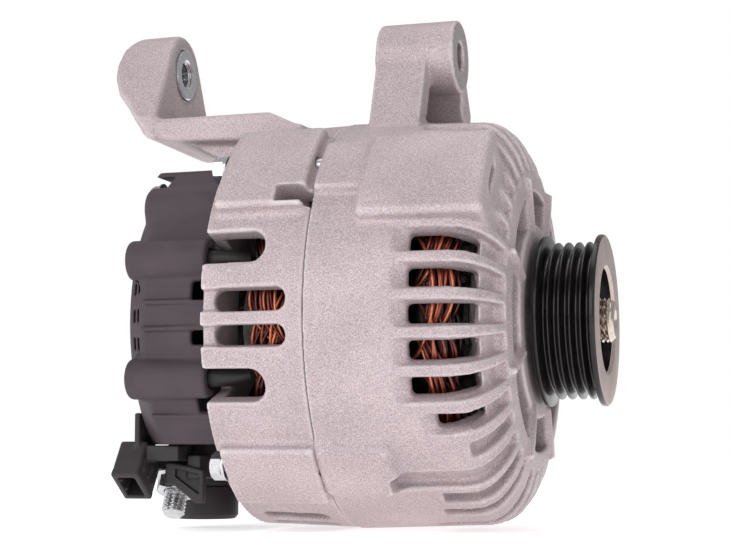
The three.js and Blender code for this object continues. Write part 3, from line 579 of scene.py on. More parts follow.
def noise(tree, where, scale, detail=2.0, rough=0.5, stretch=None):
    """A noise on object coordinates. Scale is in waves a metre, so 1000 is a grain of a millimetre."""
    if stretch is not None:
        mapping = tree.nodes.new("ShaderNodeMapping")
        mapping.inputs["Scale"].default_value = stretch
        tree.links.new(where, mapping.inputs["Vector"])
        where = mapping.outputs[0]
    made = tree.nodes.new("ShaderNodeTexNoise")
    made.inputs["Scale"].default_value = scale
    made.inputs["Detail"].default_value = detail
    made.inputs["Roughness"].default_value = rough
    tree.links.new(where, made.inputs["Vector"])
    return made.outputs["Fac"]


def ramp(tree, factor, stops):
    """A colour for each value of a factor, from (place, colour) stops."""
    made = tree.nodes.new("ShaderNodeValToRGB")
    points = made.color_ramp.elements
    while len(points) < len(stops):
        points.new(0.5)
    for point, (place, colour) in zip(points, stops):
        point.position = place
        point.color = (*colour, 1.0) if len(colour) == 3 else colour
    tree.links.new(factor, made.inputs[0])
    return made.outputs[0]


def spread(tree, factor, low, high, from_low=0.3, from_high=0.7):
    """A factor stretched to run from low to high."""
    made = tree.nodes.new("ShaderNodeMapRange")
    made.inputs["From Min"].default_value = from_low
    made.inputs["From Max"].default_value = from_high
    made.inputs["To Min"].default_value = low
    made.inputs["To Max"].default_value = high
    tree.links.new(factor, made.inputs["Value"])
    return made.outputs[0]


def mixed(tree, factor, a, b, kind="MIX"):
    """Two colours mixed by a factor."""
    made = tree.nodes.new("ShaderNodeMix")
    made.data_type = "RGBA"
    made.blend_type = kind
    for socket, value in ((made.inputs["Factor"], factor), (made.inputs[6], a), (made.inputs[7], b)):
        if isinstance(value, (int, float)):
            socket.default_value = value
        elif isinstance(value, tuple):
            socket.default_value = (*value, 1.0)
        else:
            tree.links.new(value, socket)
    return made.outputs[2]


def bump(tree, shader, height, strength, distance, before=None):
    """A bump from a height. Distance is in metres."""
    made = tree.nodes.new("ShaderNodeBump")
    made.inputs["Strength"].default_value = strength
    made.inputs["Distance"].default_value = distance
    tree.links.new(height, made.inputs["Height"])
    if before is not None:
        tree.links.new(before, made.inputs["Normal"])
    tree.links.new(made.outputs[0], shader.inputs["Normal"])
    return made.outputs[0]


def object_place(tree):
    return tree.nodes.new("ShaderNodeTexCoord").outputs["Object"]


def times(colour, factor):
    return tuple(c * factor for c in colour)


# %% Cast aluminium, as cast and as machined
CAST_COLOUR = (0.49, 0.405, 0.418)


def cast_aluminium():
    """Grit-blasted casting: slow pinkish and grey clouds, fine light and dark grains, and convex edges made lighter by
    a painted highlight.
    """
    made, tree, shader = blank_material("cast_aluminium")
    where = object_place(tree)
    clouds = noise(tree, where, 45, 3)
    tone = ramp(tree, clouds, [(0.3, times(CAST_COLOUR, 0.90)), (0.7, times(CAST_COLOUR, 1.06))])
    grain = noise(tree, where, 2400, 2, 0.7)
    speck = ramp(tree, grain, [(0.32, (0.30,) * 3), (0.5, (0.48,) * 3), (0.68, (0.72,) * 3)])
    colour = mixed(tree, 0.9, tone, speck, "OVERLAY")
    pits = noise(tree, where, 620, 1)
    pit_mask = ramp(tree, pits, [(0.76, (0,) * 3), (0.80, (0.7,) * 3)])
    colour = mixed(tree, pit_mask, colour, (0.26, 0.21, 0.21))
    # Pointiness picks out convex edges, which are mixed towards a pale colour: a painted highlight.
    edges = tree.nodes.new("ShaderNodeNewGeometry").outputs["Pointiness"]
    painted_edge_highlight = spread(tree, edges, 0.0, 0.55, 0.515, 0.56)
    colour = mixed(tree, painted_edge_highlight, colour, (0.80, 0.74, 0.74))
    tree.links.new(colour, shader.inputs["Base Color"])
    shader.inputs["Metallic"].default_value = 0.35
    shader.inputs["Specular IOR Level"].default_value = 0.45
    link(tree, spread(tree, grain, 0.42, 0.66), shader.inputs["Roughness"])
    bump(tree, shader, noise(tree, where, 1700, 2, 0.65), 0.5, 0.00022)
    return made


def machined_aluminium():
    """A face cut on a lathe: fine rings and streaks on bare grey metal."""
    made, tree, shader = blank_material("machined_aluminium")
    where = object_place(tree)
    streaks = noise(tree, where, 900, 2, 0.5, (0.12, 1.0, 1.0))
    colour = ramp(tree, streaks, [(0.3, (0.34, 0.29, 0.29)), (0.7, (0.56, 0.49, 0.48))])
    tree.links.new(colour, shader.inputs["Base Color"])
    shader.inputs["Metallic"].default_value = 0.75
    link(tree, spread(tree, streaks, 0.28, 0.48), shader.inputs["Roughness"])
    bump(tree, shader, streaks, 0.15, 0.0001)
    return made


# %% Plastics and rubbery sleeves
def moulded_plastic(name, colour, rough, grain_size=2200, strength=0.2, specular=0.35):
    """Moulded plastic: an even colour with slow clouds and dust, and a fine spark-eroded grain."""
    made, tree, shader = blank_material(name)
    where = object_place(tree)
    clouds = noise(tree, where, 70, 4)
    dust = noise(tree, where, 420, 3, 0.7)
    base = ramp(tree, clouds, [(0.3, times(colour, 0.82)), (0.7, times(colour, 1.18))])
    dusty = ramp(tree, dust, [(0.58, (0,) * 3), (0.82, (0.35,) * 3)])
    base = mixed(tree, dusty, base, times(colour, 1.9))
    tree.links.new(base, shader.inputs["Base Color"])
    shader.inputs["Specular IOR Level"].default_value = specular
    link(tree, spread(tree, clouds, rough - 0.06, rough + 0.08), shader.inputs["Roughness"])
    bump(tree, shader, noise(tree, where, grain_size, 2, 0.6), strength, 0.0001)
    return made


# %% Steels
def steel(name, dark, light, rough, metal=1.0, scale=700, stretch=(1.0, 1.0, 1.0), strength=0.1):
    """Steel with a streaky tone and fine scratches along one direction."""
    made, tree, shader = blank_material(name)
    where = object_place(tree)
    streaks = noise(tree, where, scale, 4, 0.65, stretch)
    clouds = noise(tree, where, 120, 2)
    colour = mixed(tree, 0.5, ramp(tree, streaks, [(0.3, dark), (0.7, light)]), ramp(tree, clouds, [(0.3, dark), (0.7, light)]))
    tree.links.new(colour, shader.inputs["Base Color"])
    shader.inputs["Metallic"].default_value = metal
    link(tree, spread(tree, streaks, rough * 0.75, rough * 1.3), shader.inputs["Roughness"])
    bump(tree, shader, streaks, strength, 0.0001)
    return made


def coated_steel():
    """The pulley's dip coating: near black, glossy, a little brown where it is thin on the edges."""
    made, tree, shader = blank_material("coated_steel")
    where = object_place(tree)
    rings = noise(tree, where, 500, 3, 0.6, (2.5, 0.25, 0.25))
    colour = ramp(tree, rings, [(0.3, (0.006, 0.005, 0.006)), (0.7, (0.016, 0.012, 0.013))])
    edges = tree.nodes.new("ShaderNodeNewGeometry").outputs["Pointiness"]
    thin = spread(tree, edges, 0.0, 0.6, 0.52, 0.62)
    colour = mixed(tree, thin, colour, (0.16, 0.12, 0.10))
    tree.links.new(colour, shader.inputs["Base Color"])
    shader.inputs["Metallic"].default_value = 0.25
    shader.inputs["Specular IOR Level"].default_value = 0.5
    link(tree, spread(tree, rings, 0.16, 0.28), shader.inputs["Roughness"])
    bump(tree, shader, rings, 0.05, 0.0001)
    return made


def wire_copper():
    """Enamelled copper under a clear coat. Each strand's colour comes from the attribute called tone, which paints
    light and shade: near black deep in the bundle, bright on the outermost strands.
    """
    made, tree, shader = blank_material("enamelled_copper")
    tone = tree.nodes.new("ShaderNodeAttribute")
    tone.attribute_name = "tone"
    # The ramp runs from near black, painted shade for strands deep in the bundle, to bright orange, a painted light on
    # the outermost ones.
    colour = ramp(
        tree,
        tone.outputs["Fac"],
        [
            (0.0, (0.004, 0.002, 0.003)), (0.3, (0.03, 0.006, 0.006)), (0.6, (0.13, 0.024, 0.022)),
            (0.85, (0.34, 0.07, 0.045)), (1.0, (0.85, 0.25, 0.11)),
        ],
    )
    where = object_place(tree)
    smudge = ramp(tree, noise(tree, where, 300, 3), [(0.3, (0.45,) * 3), (0.65, (1.0,) * 3)])
    tree.links.new(mixed(tree, 1.0, colour, smudge, "MULTIPLY"), shader.inputs["Base Color"])
    shader.inputs["Metallic"].default_value = 0.7
    shader.inputs["Roughness"].default_value = 0.3
    shader.inputs["Coat Weight"].default_value = 0.35
    shader.inputs["Coat Roughness"].default_value = 0.15
    return made


def laminated_steel():
    """A stack of thin sheets: dark lines across the shaft every half millimetre."""
    made, tree, shader = blank_material("laminated_steel")
    where = object_place(tree)
    split = tree.nodes.new("ShaderNodeSeparateXYZ")
    tree.links.new(where, split.inputs[0])
    wave = tree.nodes.new("ShaderNodeMath")
    wave.operation = "PINGPONG"
    wave.inputs[1].default_value = 0.00035
    tree.links.new(split.outputs["X"], wave.inputs[0])
    sheets = spread(tree, wave.outputs[0], 0.0, 1.0, 0.0, 0.00035)
    colour = ramp(tree, sheets, [(0.0, (0.03, 0.026, 0.025)), (0.4, (0.13, 0.115, 0.11))])
    tree.links.new(colour, shader.inputs["Base Color"])
    shader.inputs["Metallic"].default_value = 0.7
    link(tree, spread(tree, noise(tree, where, 400, 2), 0.4, 0.65), shader.inputs["Roughness"])
    bump(tree, shader, sheets, 0.3, 0.0002)
    return made


CAST = cast_aluminium()
MACHINED = machined_aluminium()
COVER_PLASTIC = moulded_plastic("cover_plastic", (0.058, 0.042, 0.050), 0.58)
BLACK_PLASTIC = moulded_plastic("black_plastic", (0.032, 0.026, 0.029), 0.5)
SLEEVE = moulded_plastic("sleeve", (0.02, 0.017, 0.019), 0.42, 3000, 0.15)
ZINC = steel("zinc_steel", (0.54, 0.54, 0.55), (0.70, 0.70, 0.71), 0.26)
PLAIN_STEEL = steel("plain_steel", (0.17, 0.155, 0.15), (0.34, 0.32, 0.31), 0.42)
BRIGHT_STEEL = steel("bright_steel", (0.50, 0.42, 0.36), (0.74, 0.65, 0.57), 0.2, stretch=(0.3, 1.0, 1.0))
GROUND_STEEL = steel("ground_steel", (0.48, 0.45, 0.43), (0.70, 0.66, 0.63), 0.22, stretch=(3.0, 0.2, 0.2))
BARE_RIM = steel("bare_rim", (0.46, 0.37, 0.34), (0.64, 0.53, 0.49), 0.42, scale=900)
COATED = coated_steel()
COPPER = wire_copper()
RING_COPPER = steel("slip_ring_copper", (0.52, 0.20, 0.10), (0.78, 0.36, 0.20), 0.25, stretch=(3.0, 0.2, 0.2))
LAMINATED = laminated_steel()
PLATE = steel("plate_aluminium", (0.42, 0.42, 0.43), (0.62, 0.62, 0.63), 0.38, stretch=(1.0, 0.25, 1.0))
CARBON = moulded_plastic("carbon", (0.035, 0.03, 0.028), 0.6, 2500, 0.4)
SPRING = steel("spring_steel", (0.36, 0.34, 0.33), (0.62, 0.60, 0.58), 0.28)
print("finishes:", len(bpy.data.materials))

# %% [markdown]
# The front bracket. The real one is die cast: a bell with cooling slots round its shoulder. Each slot
# runs on as a groove over the shoulder, so the ribs between them end as fins on the front face. A mesh
# with such blends is slow to draw by hand, so it is made of clay: the bell first, then the bosses and the
# lug's post, then the slots, grooves and windows are carved with soft edges.

# %% Front bracket: the bell
FRONT_OUTER = [
    (0.15, 70.1), (45.0, 68.5), (48.6, 67.9), (51.4, 66.5), (53.6, 64.7), (56.2, 61.2),
    (58.4, 57.0), (60.1, 51.5), (61.0, 46.5), (61.5, 44.5),
]
FRONT_INNER = [
    (61.5, 14.0), (58.3, 14.0), (58.3, 23.9), (44.0, 23.9), (44.0, 31.0), (55.6, 31.0), (55.4, 49.0),
    (52.4, 53.6), (48.6, 57.6), (45.0, 61.2), (41.0, 62.6), (30.3, 62.6), (30.3, 64.4), (0.15, 64.4),
]
FRONT_SLOTS = [161.5, 171.5, 181.5, 191.5, 201.5]
FAR_SLOTS = [261.5, 271.5, 281.5, 291.5, 301.5, 331.5, 341.5, 351.5, 1.5, 11.5, 21.5, 31.5, 61.5]
TOP_SLOTS = [71.5, 81.5, 91.5, 101.5, 111.5, 121.5]
GROOVE_DEPTH = 3.7
GROOVE_END = 50.5
SLOT_BACK = 32.4
SLOT_FRONT = 53.0

front = Clay((-2, -78, -75), (67, 78, 109), CASTING_STEP)
front.add(turned_clay(FRONT_OUTER + FRONT_INNER, 0, 62, 71))


def groove(angle, start, half, depth=GROOVE_DEPTH, end=GROOVE_END):
    """A groove that follows the outer profile at a depth, from a place on the side, over the shoulder, to
    a radius on the front face. Its width shrinks with the radius."""
    ny, nz = polar(1.0, angle)
    profile = [(-5.0, 70.1)] + FRONT_OUTER + [(61.5, -5.0), (-5.0, -5.0)]
    step = 0.25
    radii = np.arange(0, 90, step)

    def shape(x, y, z):
        table = polygon_distance(profile, x[:, 0, 0][:, None], radii[None, :])
        r = np.hypot(y, z)
        place = np.minimum(r[0] / step, len(radii) - 2.001)
        low = place.astype(int)
        share = place - low
        outside = table[:, low] * (1 - share) + table[:, low + 1] * share
        out = y * ny + z * nz
        across = np.abs(z * ny - y * nz) - half * np.clip(out / 67.0, 0.2, 1.1)
        return corner_round([across, -(outside + depth), start - x, end - r], 1.3)

    spread_angle = math.degrees((half + 2) / end)
    low, high = polar_box(start, 66, end - 2, 76, angle - spread_angle, angle + spread_angle)
    return shape, (low, high)


def front_bosses():
    """The four bosses for the through bolts, and the flat-fronted pad at the upper left."""
    front.add(ring_block(15.5, 56.6, 60.0, 74.0, 126.5, 156.3, 2.6), 1.6)
    front.add(ring_block(0.15, 20, 60, 72.9, 128, 147, 1.5), 2.0)
    front.add(ring_block(0.15, 24.5, 60, 73.2, 216.5, 233.5, 2.6), 4.5)
    for middle in (45, 315):
        front.add(ring_block(0.15, 53, 60, 73.0, middle - 8, middle + 8, 2.4), 3.0)
        front.add(ring_block(46, 55.5, 50, 66, middle - 8, middle + 8, 2.4), 3.0)


def lug_and_post():
    """The mounting lug, a barrel on a post of two walls that lean together, with a web between them."""
    front.add(bar((7.0, 0, LUG_HEIGHT), (34.7, 0, LUG_HEIGHT), 12.7, 1.0))
    front.add(slab([(-12.4, 92.5), (-5.0, 86.5), (-14.5, 64), (-24.0, 64)], "x", 7.6, 25.4, 0.6), 1.6)
    front.add(slab([(12.4, 92.5), (5.0, 86.5), (20, 62), (34.2, 60)], "x", 7.6, 33.0, 0.6), 1.6)
    front.add(slab([(-10, 90), (10, 90), (27, 61), (-22, 61)], "x", 8.0, 13.5, 0.6), 2.0)


front_bosses()
lug_and_post()
print("front bracket: bell, bosses and lug are on")

# %% Front bracket: slots, grooves, windows and holes
def slot_with_lip(angle, back=SLOT_BACK, front_end=SLOT_FRONT, half=3.1):
    """A slot through the wall, and a funnel round its mouth: the sides flare, and the back end opens as a
    ramp."""
    front.carve(outward_slot(back, front_end, angle, half, 55, 80, 0.0, 1.4), 0.3)
    front.carve(outward_slot(back, front_end + 1.5, angle, half, 65.6, 71.5, 0.42, 2.4, 1.35), 0.5)


for angle in FRONT_SLOTS + FAR_SLOTS + TOP_SLOTS:
    front.carve(groove(angle, 46, 3.9), 0.7)
    slot_with_lip(angle)
for angle in (131.5, 141.5, 151.5):
    front.carve(groove(angle, 57.0, 3.9), 0.7)
front.carve(groove(211.4, 50, 3.3), 0.7)
slot_with_lip(211.4, 39.6, 53.0, 2.6)
front.carve(groove(220.5, 49, 3.0, 4.0), 0.9)
front.carve(groove(230.6, 22.2, 3.9, 3.5), 1.0)
front.carve(groove(239.4, 36.5, 3.1, 4.6), 1.2)
front.carve(groove(248.2, 34.5, 2.6, 4.4), 1.2)
for i in range(8):
    front.carve(ring_block(50, 70, 33, 44, i * 45 - 18.5, i * 45 + 18.5, 2.0), 1.2)
for i in range(8):
    middle = i * 45 + 22.5
    front.add(ring_block(60.5, 62.9, 31.5, 50, middle - 1.0, middle + 1.0, 0.5), 2.2)
for bolt_angle in (135, 225, 315, 45):
    y, z = polar(BOLT_CIRCLE, bolt_angle)
    front.carve(bar((-3, y, z), (23.5, y, z), 2.8, 0.1))
for screw_angle in (30, 150, 270):
    y, z = polar(27.3, screw_angle)
    front.carve(bar((40, y, z), (54, y, z), 2.3, 0.1))
front.carve(ring_block(50, 62, 64.2, 68.6, 134.5, 146.5, 1.8), 0.6)
front.carve(bar((5, 0, LUG_HEIGHT), (37, 0, LUG_HEIGHT), 5.1, 0.1), 0.5)
front.carve(bar((-8, 0, 0), (30.3, 0, 0), 64.4, 0.1))
front.carve(bar((56, 0, 0), (70, 0, 0), 14.0, 0.1), 0.5)
front_mesh = clay_mesh(front, "front_bracket_casting", 195000)


def mark_faces(mesh, test):
    """Gives the second material to the faces whose middles and normals pass a test, in millimetres."""
    count = len(mesh.polygons)
    centres, normals = np.empty(count * 3), np.empty(count * 3)
    mesh.polygons.foreach_get("center", centres)
    mesh.polygons.foreach_get("normal", normals)
    centres = centres.reshape(-1, 3) * 1000 - TO_FRAME
    chosen = test(centres, normals.reshape(-1, 3))
    mesh.polygons.foreach_set("material_index", chosen.astype(np.int32))
    mesh.update()
    return int(chosen.sum())


def front_machined(p, n):
    """The lug's two ends, its bore, and the end of the pad."""
    from_lug = np.hypot(p[:, 1], p[:, 2] - LUG_HEIGHT)
    ends = (np.abs(n[:, 0]) > 0.9) & (from_lug < 12.2) & ((p[:, 0] > 34) | (p[:, 0] < 7.6))
    bore = from_lug < 5.4
    pad = (n[:, 0] > 0.95) & (p[:, 0] > 58.2) & (np.hypot(p[:, 1], p[:, 2]) > 62)
    return ends | bore | pad


front_casting = finished(
    "front_bracket_casting", front_mesh, [CAST, MACHINED], "housing", ["front_bracket"]
)
print("machined faces on the front bracket:", mark_faces(front_mesh, front_machined))

# %% [markdown]
# The rear bracket. It is cast like the front one: a shorter bell with open slots for air and for the two
# stator leads, blocks that the long screws pull on, and an arm that runs back over the plastic cover and
# turns up into the rear ear. The ear is the overlap of two outlines, one seen along the shaft and one
# seen from the side, which keeps its flanks flat and its edges evenly rounded.

# %% Rear bracket: bell, blocks, arm and ear
REAR_BELL = [
    (-0.15, 69.8), (-34.7, 68.7), (-34.7, 21.5), (-38.0, 21.5), (-38.0, 11.5), (-36.3, 11.5), (-36.3, 17.9),
    (-25.0, 17.9), (-25.0, 21.5), (-30.7, 21.5), (-30.7, 62.5), (-3.3, 62.5), (-3.3, 64.4), (-0.15, 64.4),
]
ARM_SIDE = [
    (-12.5, 62.0), (-15.5, 67.6), (-18.2, 68.2), (-27.4, 72.5), (-68.7, 72.3), (-76, 72.3), (-73, 66.3),
    (-60, 63.5), (-34, 62.5), (-18, 62),
]
EAR_SIDE = [
    (-68.7, 62), (-72.8, 66), (-81, 77), (-86, 82.6), (-89.3, 90), (-89.9, 95.5), (-88.6, 102), (-84.5, 108.2),
    (-68.7, 109.5),
]
GUSSET = [(-58.0, 66), (-34, 66), (-31, 60), (-31, 55), (-35, 54), (-44.5, 56.2), (-52.5, 60.5)]
EAR_HALF_BASE = 27.0
EAR_APEX = 14.5
EAR_FRONT = -68.7
BOLT_SEAT = -32.0

rear = Clay((-93, -78, -75), (2, 78, 112), CASTING_STEP)
rear.add(turned_clay(REAR_BELL, -38, 0, 71))
rear.add(ring_block(BOLT_SEAT, -2.0, 58, 74.3, 120.5, 152.5, 2.0), 2.5)
rear.add(ring_block(BOLT_SEAT, -2.0, 58, 74.3, 27.5, 59.5, 2.0), 2.5)
rear.add(ring_block(BOLT_SEAT, -0.2, 58, 73.4, 216.5, 236.5, 1.5), 2.5)
rear.add(ring_block(BOLT_SEAT, -0.2, 58, 73.4, 306, 324, 1.5), 2.5)
rear.add(slab(ARM_SIDE, "y", -EAR_HALF_BASE, EAR_HALF_BASE, 1.8), 2.0)


def ear_outline():
    """The ear seen along the shaft: an arc over the bush and two straight flanks down to the arm."""
    arc = np.radians(np.linspace(28, 152, 13))
    tip = np.stack([EAR_APEX * np.cos(arc), LUG_HEIGHT + EAR_APEX * np.sin(arc)], -1)
    left = [(-EAR_HALF_BASE, 73.5), (-EAR_HALF_BASE, 65.5)]
    right = [(EAR_HALF_BASE, 65.5), (EAR_HALF_BASE, 73.5)]
    return np.vstack([tip, left, right])


def ear_shape(x, y, z):
    """The overlap of the two outlines, with a wide round on the edges between them."""
    return corner_round([polygon_distance(ear_outline(), y, z), polygon_distance(EAR_SIDE, x, z)], 2.6)


rear.add((ear_shape, ([-91, -28, 61], [EAR_FRONT, 28, 110])), 2.2)
rear.carve(block((EAR_FRONT, -40, 73.5), (-60, 40, 112), 0.2), 0.8)
for side in (-1, 1):
    rear.add(slab(GUSSET, "y", side * 20.5 - 2.6, side * 20.5 + 2.6, 0.8), 2.5)
rear.add(slab([(-56, 66), (-31, 66), (-31, 61), (-50, 62.5)], "y", -21, 21, 0.6), 1.5)
print("rear bracket: bell, blocks, arm and ear are on")

# %% Rear bracket: slots, windows and holes
rear.carve(ring_block(-11.5, 0.5, 60.5, 80, 146.3, 151.2, 0.6), 0.5)
for mirror in (False, True):
    for angle, half, front_end in ((162.2, 5.0, -14.0), (199.8, 5.2, -14.0), (176.8, 3.3, -6.3), (186.4, 3.0, -6.3)):
        here = 180 - angle if mirror else angle
        open_back = half > 4
        back = -50 if open_back else -30.7
        rear.carve(outward_slot(back, front_end, here, half, 55, 80, 0.02), 1.0)
        if not open_back:
            rear.carve(outward_slot(-45, front_end, here, half, 66.3, 80, 0.05), 1.0)
for angle in (252, 261, 270, 279, 288):
    rear.carve(outward_slot(-29, -6.3, angle, 3.3, 55, 80, 0.05), 1.3)
for i in range(6):
    rear.carve(ring_block(-37, -29, 26, 44, i * 60 - 23, i * 60 + 23, 2.0), 1.0)
for bolt_angle in (135, 225, 315, 45):
    y, z = polar(BOLT_CIRCLE, bolt_angle)
    rear.carve(bar((-46, y, z), (3, y, z), 2.8, 0.1))
    rear.carve(bar((-46, y, z), (BOLT_SEAT, y, z), 5.8, 0.3), 0.8)
for screw_angle in (4, 118, 300):
    y, z = polar(50, screw_angle)
    rear.carve(bar((-40, y, z), (-28, y, z), 2.7, 0.1))
rear.carve(bar((-95, 0, LUG_HEIGHT), (-60, 0, LUG_HEIGHT), 9.25, 0.1), 0.4)
rear.carve(bar((-3.3, 0, 0), (6, 0, 0), 64.4, 0.1))
rear_mesh = clay_mesh(rear, "rear_bracket_casting", 195000)


def rear_machined(p, n):
    """The ear's front face round the bush."""
    ear_face = (n[:, 0] > 0.97) & (p[:, 2] > 75) & (p[:, 0] < -68)
    return ear_face & (np.hypot(p[:, 1], p[:, 2] - LUG_HEIGHT) < 11.2)


rear_casting = finished(
    "rear_bracket_casting", rear_mesh, [CAST, MACHINED], "housing", ["rear_bracket"]
)
print("machined faces on the rear bracket:", mark_faces(rear_mesh, rear_machined))

# %% [markdown]
# The rear cover is one thin moulding. Its side wall leans in a little so that it leaves the mould, it has
# a wide bevel, and two half-round pockets cover the ends of the stator leads. It is clay too, with the
# hollow carved last, so the wall has an inside.

# %% Rear cover
COVER_OUTER = [
    (-35.4, 61.5), (-57.5, 60.2), (-59.2, 59.3), (-65.8, 52.8), (-66.4, 51.5), (-66.4, 15), (-69.4, 13),
    (-70.6, 9), (-70.6, 0), (-35.4, 0),
]
COVER_INNER = [
    (-34.0, 59.4), (-57.0, 58.0), (-63.9, 50.8), (-64.2, 13.0), (-67.2, 10.8), (-68.4, 7.5), (-68.4, 0), (-34.0, 0),
]
COVER_FLAT = 52.5
COVER_WALL = 2.2
LEADS = (162.2, 199.8)

cover = Clay((-73, -72, -70), (-33, 70, 62), PLASTIC_STEP)
cover.add(turned_clay(COVER_OUTER, -71, -35.4, 62))
cover.carve(block((-95, -90, COVER_FLAT), (0, 90, 90), 0.1), 2.0)
for angle in LEADS:
    y, z = polar(60.0, angle)
    cover.add(bar((-63.4, y, z), (-35.4, y, z), 6.7, 1.2), 1.6)
    cover.add(bar((-65.2, y, z), (-60, y, z), 2.2, 0.8), 0.8)
    ny, nz = polar(1.0, angle)
    for side in (-1, 1):
        sy, sz = y - side * 6.9 * nz - 1.5 * ny, z + side * 6.9 * ny - 1.5 * nz
        cover.add(bar((-61.5, sy, sz), (-35.4, sy, sz), 1.1, 0.4), 0.8)
upper_y, upper_z = polar(56.5, 139)
cover.add(bar((-63, upper_y, upper_z), (-35.4, upper_y, upper_z), 7.6, 2.0), 3.0)
for rib_angle in (176, 184, 212):
    cover.add(ring_block(-58, -35.4, 58, 61.9, rib_angle - 0.7, rib_angle + 0.7, 0.3), 0.8)
for rib_angle in (10, 30, 60, 85, 110, 130, 190, 215):
    cover.add(ring_block(-67.3, -60, 20, 50, rib_angle - 0.5, rib_angle + 0.5, 0.3), 0.8)
cover.add(turned_clay([(-68.2, 24.5), (-68.2, 22.8), (-64, 22.8), (-64, 24.5)], -69, -64, 25), 0.8)
cover.carve(turned_clay([(x, r) for x, r in COVER_INNER], -69, -33, 60), 0.4)
cover.add(
    (
        lambda x, y, z: corner_round([np.hypot(y, z) - 60.0, np.abs(z - 51.4) - 1.1, np.abs(x + 51) - 15], 0.3),
        ([-66, -62, 49], [-35.4, 62, 53]),
    ),
    0.5,
)
for angle in LEADS:
    y, z = polar(59.5, angle)
    cover.carve(bar((-51, y, z), (-30, y, z), 3.9, 0.2), 0.3)
for i in (0, 1, 2, 3, 4, 5, 8, 9):
    cover.carve(ring_block(-75, -62, 26, 40, i * 36 - 3.5, i * 36 + 3.5, 0.8), 0.6)
for angle in (170, 179.5, 189):
    for start in (-63.6, -61.4):
        cover.carve(ring_block(start, start + 1.1, 50, 60, angle - 2.2, angle + 2.2, 0.3), 0.4)
for screw_angle in (4, 118, 300):
    y, z = polar(50, screw_angle)
    cover.carve(bar((-72, y, z), (-60, y, z), 2.8, 0.1), 0.3)
    cover.carve(bar((-72, y, z), (-65.6, y, z), 6.2, 0.2), 0.5)
for notch_angle, notch_half in ((172.5, 3.0), (187, 2.2), (208, 3.0), (30, 4), (330, 4), (75, 3)):
    cover.carve(ring_block(-41, -33, 55, 64, notch_angle - notch_half, notch_angle + notch_half, 0.8), 0.5)
cover.carve(block((-80, -90, -90), (-30, -12, -41.5), 0.2), 0.6)
cover.carve(block((-80, -13, -90), (-30, 14, -46), 0.2), 0.6)
cover_mesh = clay_mesh(cover, "rear_cover_moulding", 190000)
rear_cover = finished("rear_cover_moulding", cover_mesh, COVER_PLASTIC, "housing", ["rear_cover"])

# %% [markdown]
# The pulley is turned steel, pressed or machined, then dipped in a black coating. Its belt grooves have a
# pitch of 3.56 mm. The profile is one closed line, with small rounds at the crests and wider ones in the
# valleys, carried round the shaft. The coating is missing on the rim of the recess, which is bare metal,
# so that ring of faces takes a second finish.

# %% Pulley
PULLEY_BACK, PULLEY_FRONT = 63.65, 84.65
GROOVE_START = PULLEY_BACK + (PULLEY_FRONT - PULLEY_BACK - 5 * 3.56) / 2


def pulley_profile():
    """The pulley's section: back face, five grooves between crests, front face, recess and bore."""
    corners = [(PULLEY_BACK, 8.8), (PULLEY_BACK, 28.85), (GROOVE_START + 0.25, 28.85)]
    radii = [0.3, 0.9, 0.35]
    for i in range(5):
        left = GROOVE_START + i * 3.56
        corners += [(left + 1.45, 23.6), (left + 2.11, 23.6)]
        radii += [0.3, 0.3]
        last = i == 4
        corners += [(left + 3.56 - 0.3, 28.85 if last else 26.5)]
        radii += [0.35]
        if not last:
            corners += [(left + 3.56 + 0.3, 26.5)]
            radii += [0.35]
    corners += [
        (PULLEY_FRONT, 28.85), (PULLEY_FRONT, 18.5), (PULLEY_FRONT - 1.0, 17.5), (69.5, 17.5), (69.5, 8.8),
    ]
    radii += [1.0, 0.3, 0.3, 1.2, 0.2]
    return corners, radii


pulley_corners, pulley_radii = pulley_profile()
pulley_mesh = mesh_of("pulley_turned", *turned(pulley_corners, 256, pulley_radii))
pulley = finished("pulley_turned", pulley_mesh, [COATED, BARE_RIM], "rotor", ["pulley"], 50)


def bare_rim(p, n):
    """The flat rim round the recess and its inner chamfer."""
    r = np.hypot(p[:, 1], p[:, 2])
    return (p[:, 0] > 83.2) & (r < 28.2) & (r > 17.0)


print("bare faces on the pulley:", mark_faces(pulley_mesh, bare_rim))

# %% [markdown]
# Screws, studs and threaded holes share one surface. Its rings run along the axis, and the radius of each
# point drops and rises once a pitch, turned by the angle round the axis, which draws a helix. The thread
# fades out over the last half pitch, as one cut with a die does.


# %% Helpers for threads and hexagons
def thread_radius(distance, angles, root, crest, pitch, start, end, inner=False):
    """The radius of a thread: the share of a pitch at this distance and angle makes a flat-topped wave
    between root and crest. Within half a pitch of either end it fades to the root, or to the crest in a
    hole."""
    share = (distance[:, None] / pitch - angles[None, :] / (2 * np.pi)) % 1.0
    wave = np.clip(1.65 - np.abs(2 * share - 1) * 2.3, 0, 1)
    edge = np.minimum(distance - start, end - distance)
    fade = np.clip(edge / (0.5 * pitch), 0, 1)[:, None]
    if inner:
        return crest - (crest - root) * wave * fade
    return root + (crest - root) * wave * fade


def hexagon_radius(angles, across_flats):
    """The distance from the middle to a hexagon's side at each angle."""
    sixth = np.pi / 3
    return across_flats / 2 / np.cos((angles + sixth / 2) % sixth - sixth / 2)


ANGLES_96 = np.linspace(0, 2 * np.pi, 96, endpoint=False)


def hexagon_rows(start, end, across_flats, chamfer_start=True, chamfer_end=True, angles=ANGLES_96):
    """Rings of a hexagon whose corners are cut by 30 degree cones at its ends."""
    distance = np.linspace(start, end, 24)
    low, high = min(start, end), max(start, end)
    flat = hexagon_radius(angles, across_flats)
    cone = np.full(len(distance), 99.0)
    if chamfer_start:
        cone = np.minimum(cone, across_flats / 2 * 1.0 + np.abs(distance - start) * 1.73)
    if chamfer_end:
        cone = np.minimum(cone, across_flats / 2 * 1.0 + np.abs(distance - end) * 1.73)
    assert low < high
    return distance, np.minimum(flat[None, :], cone[:, None])


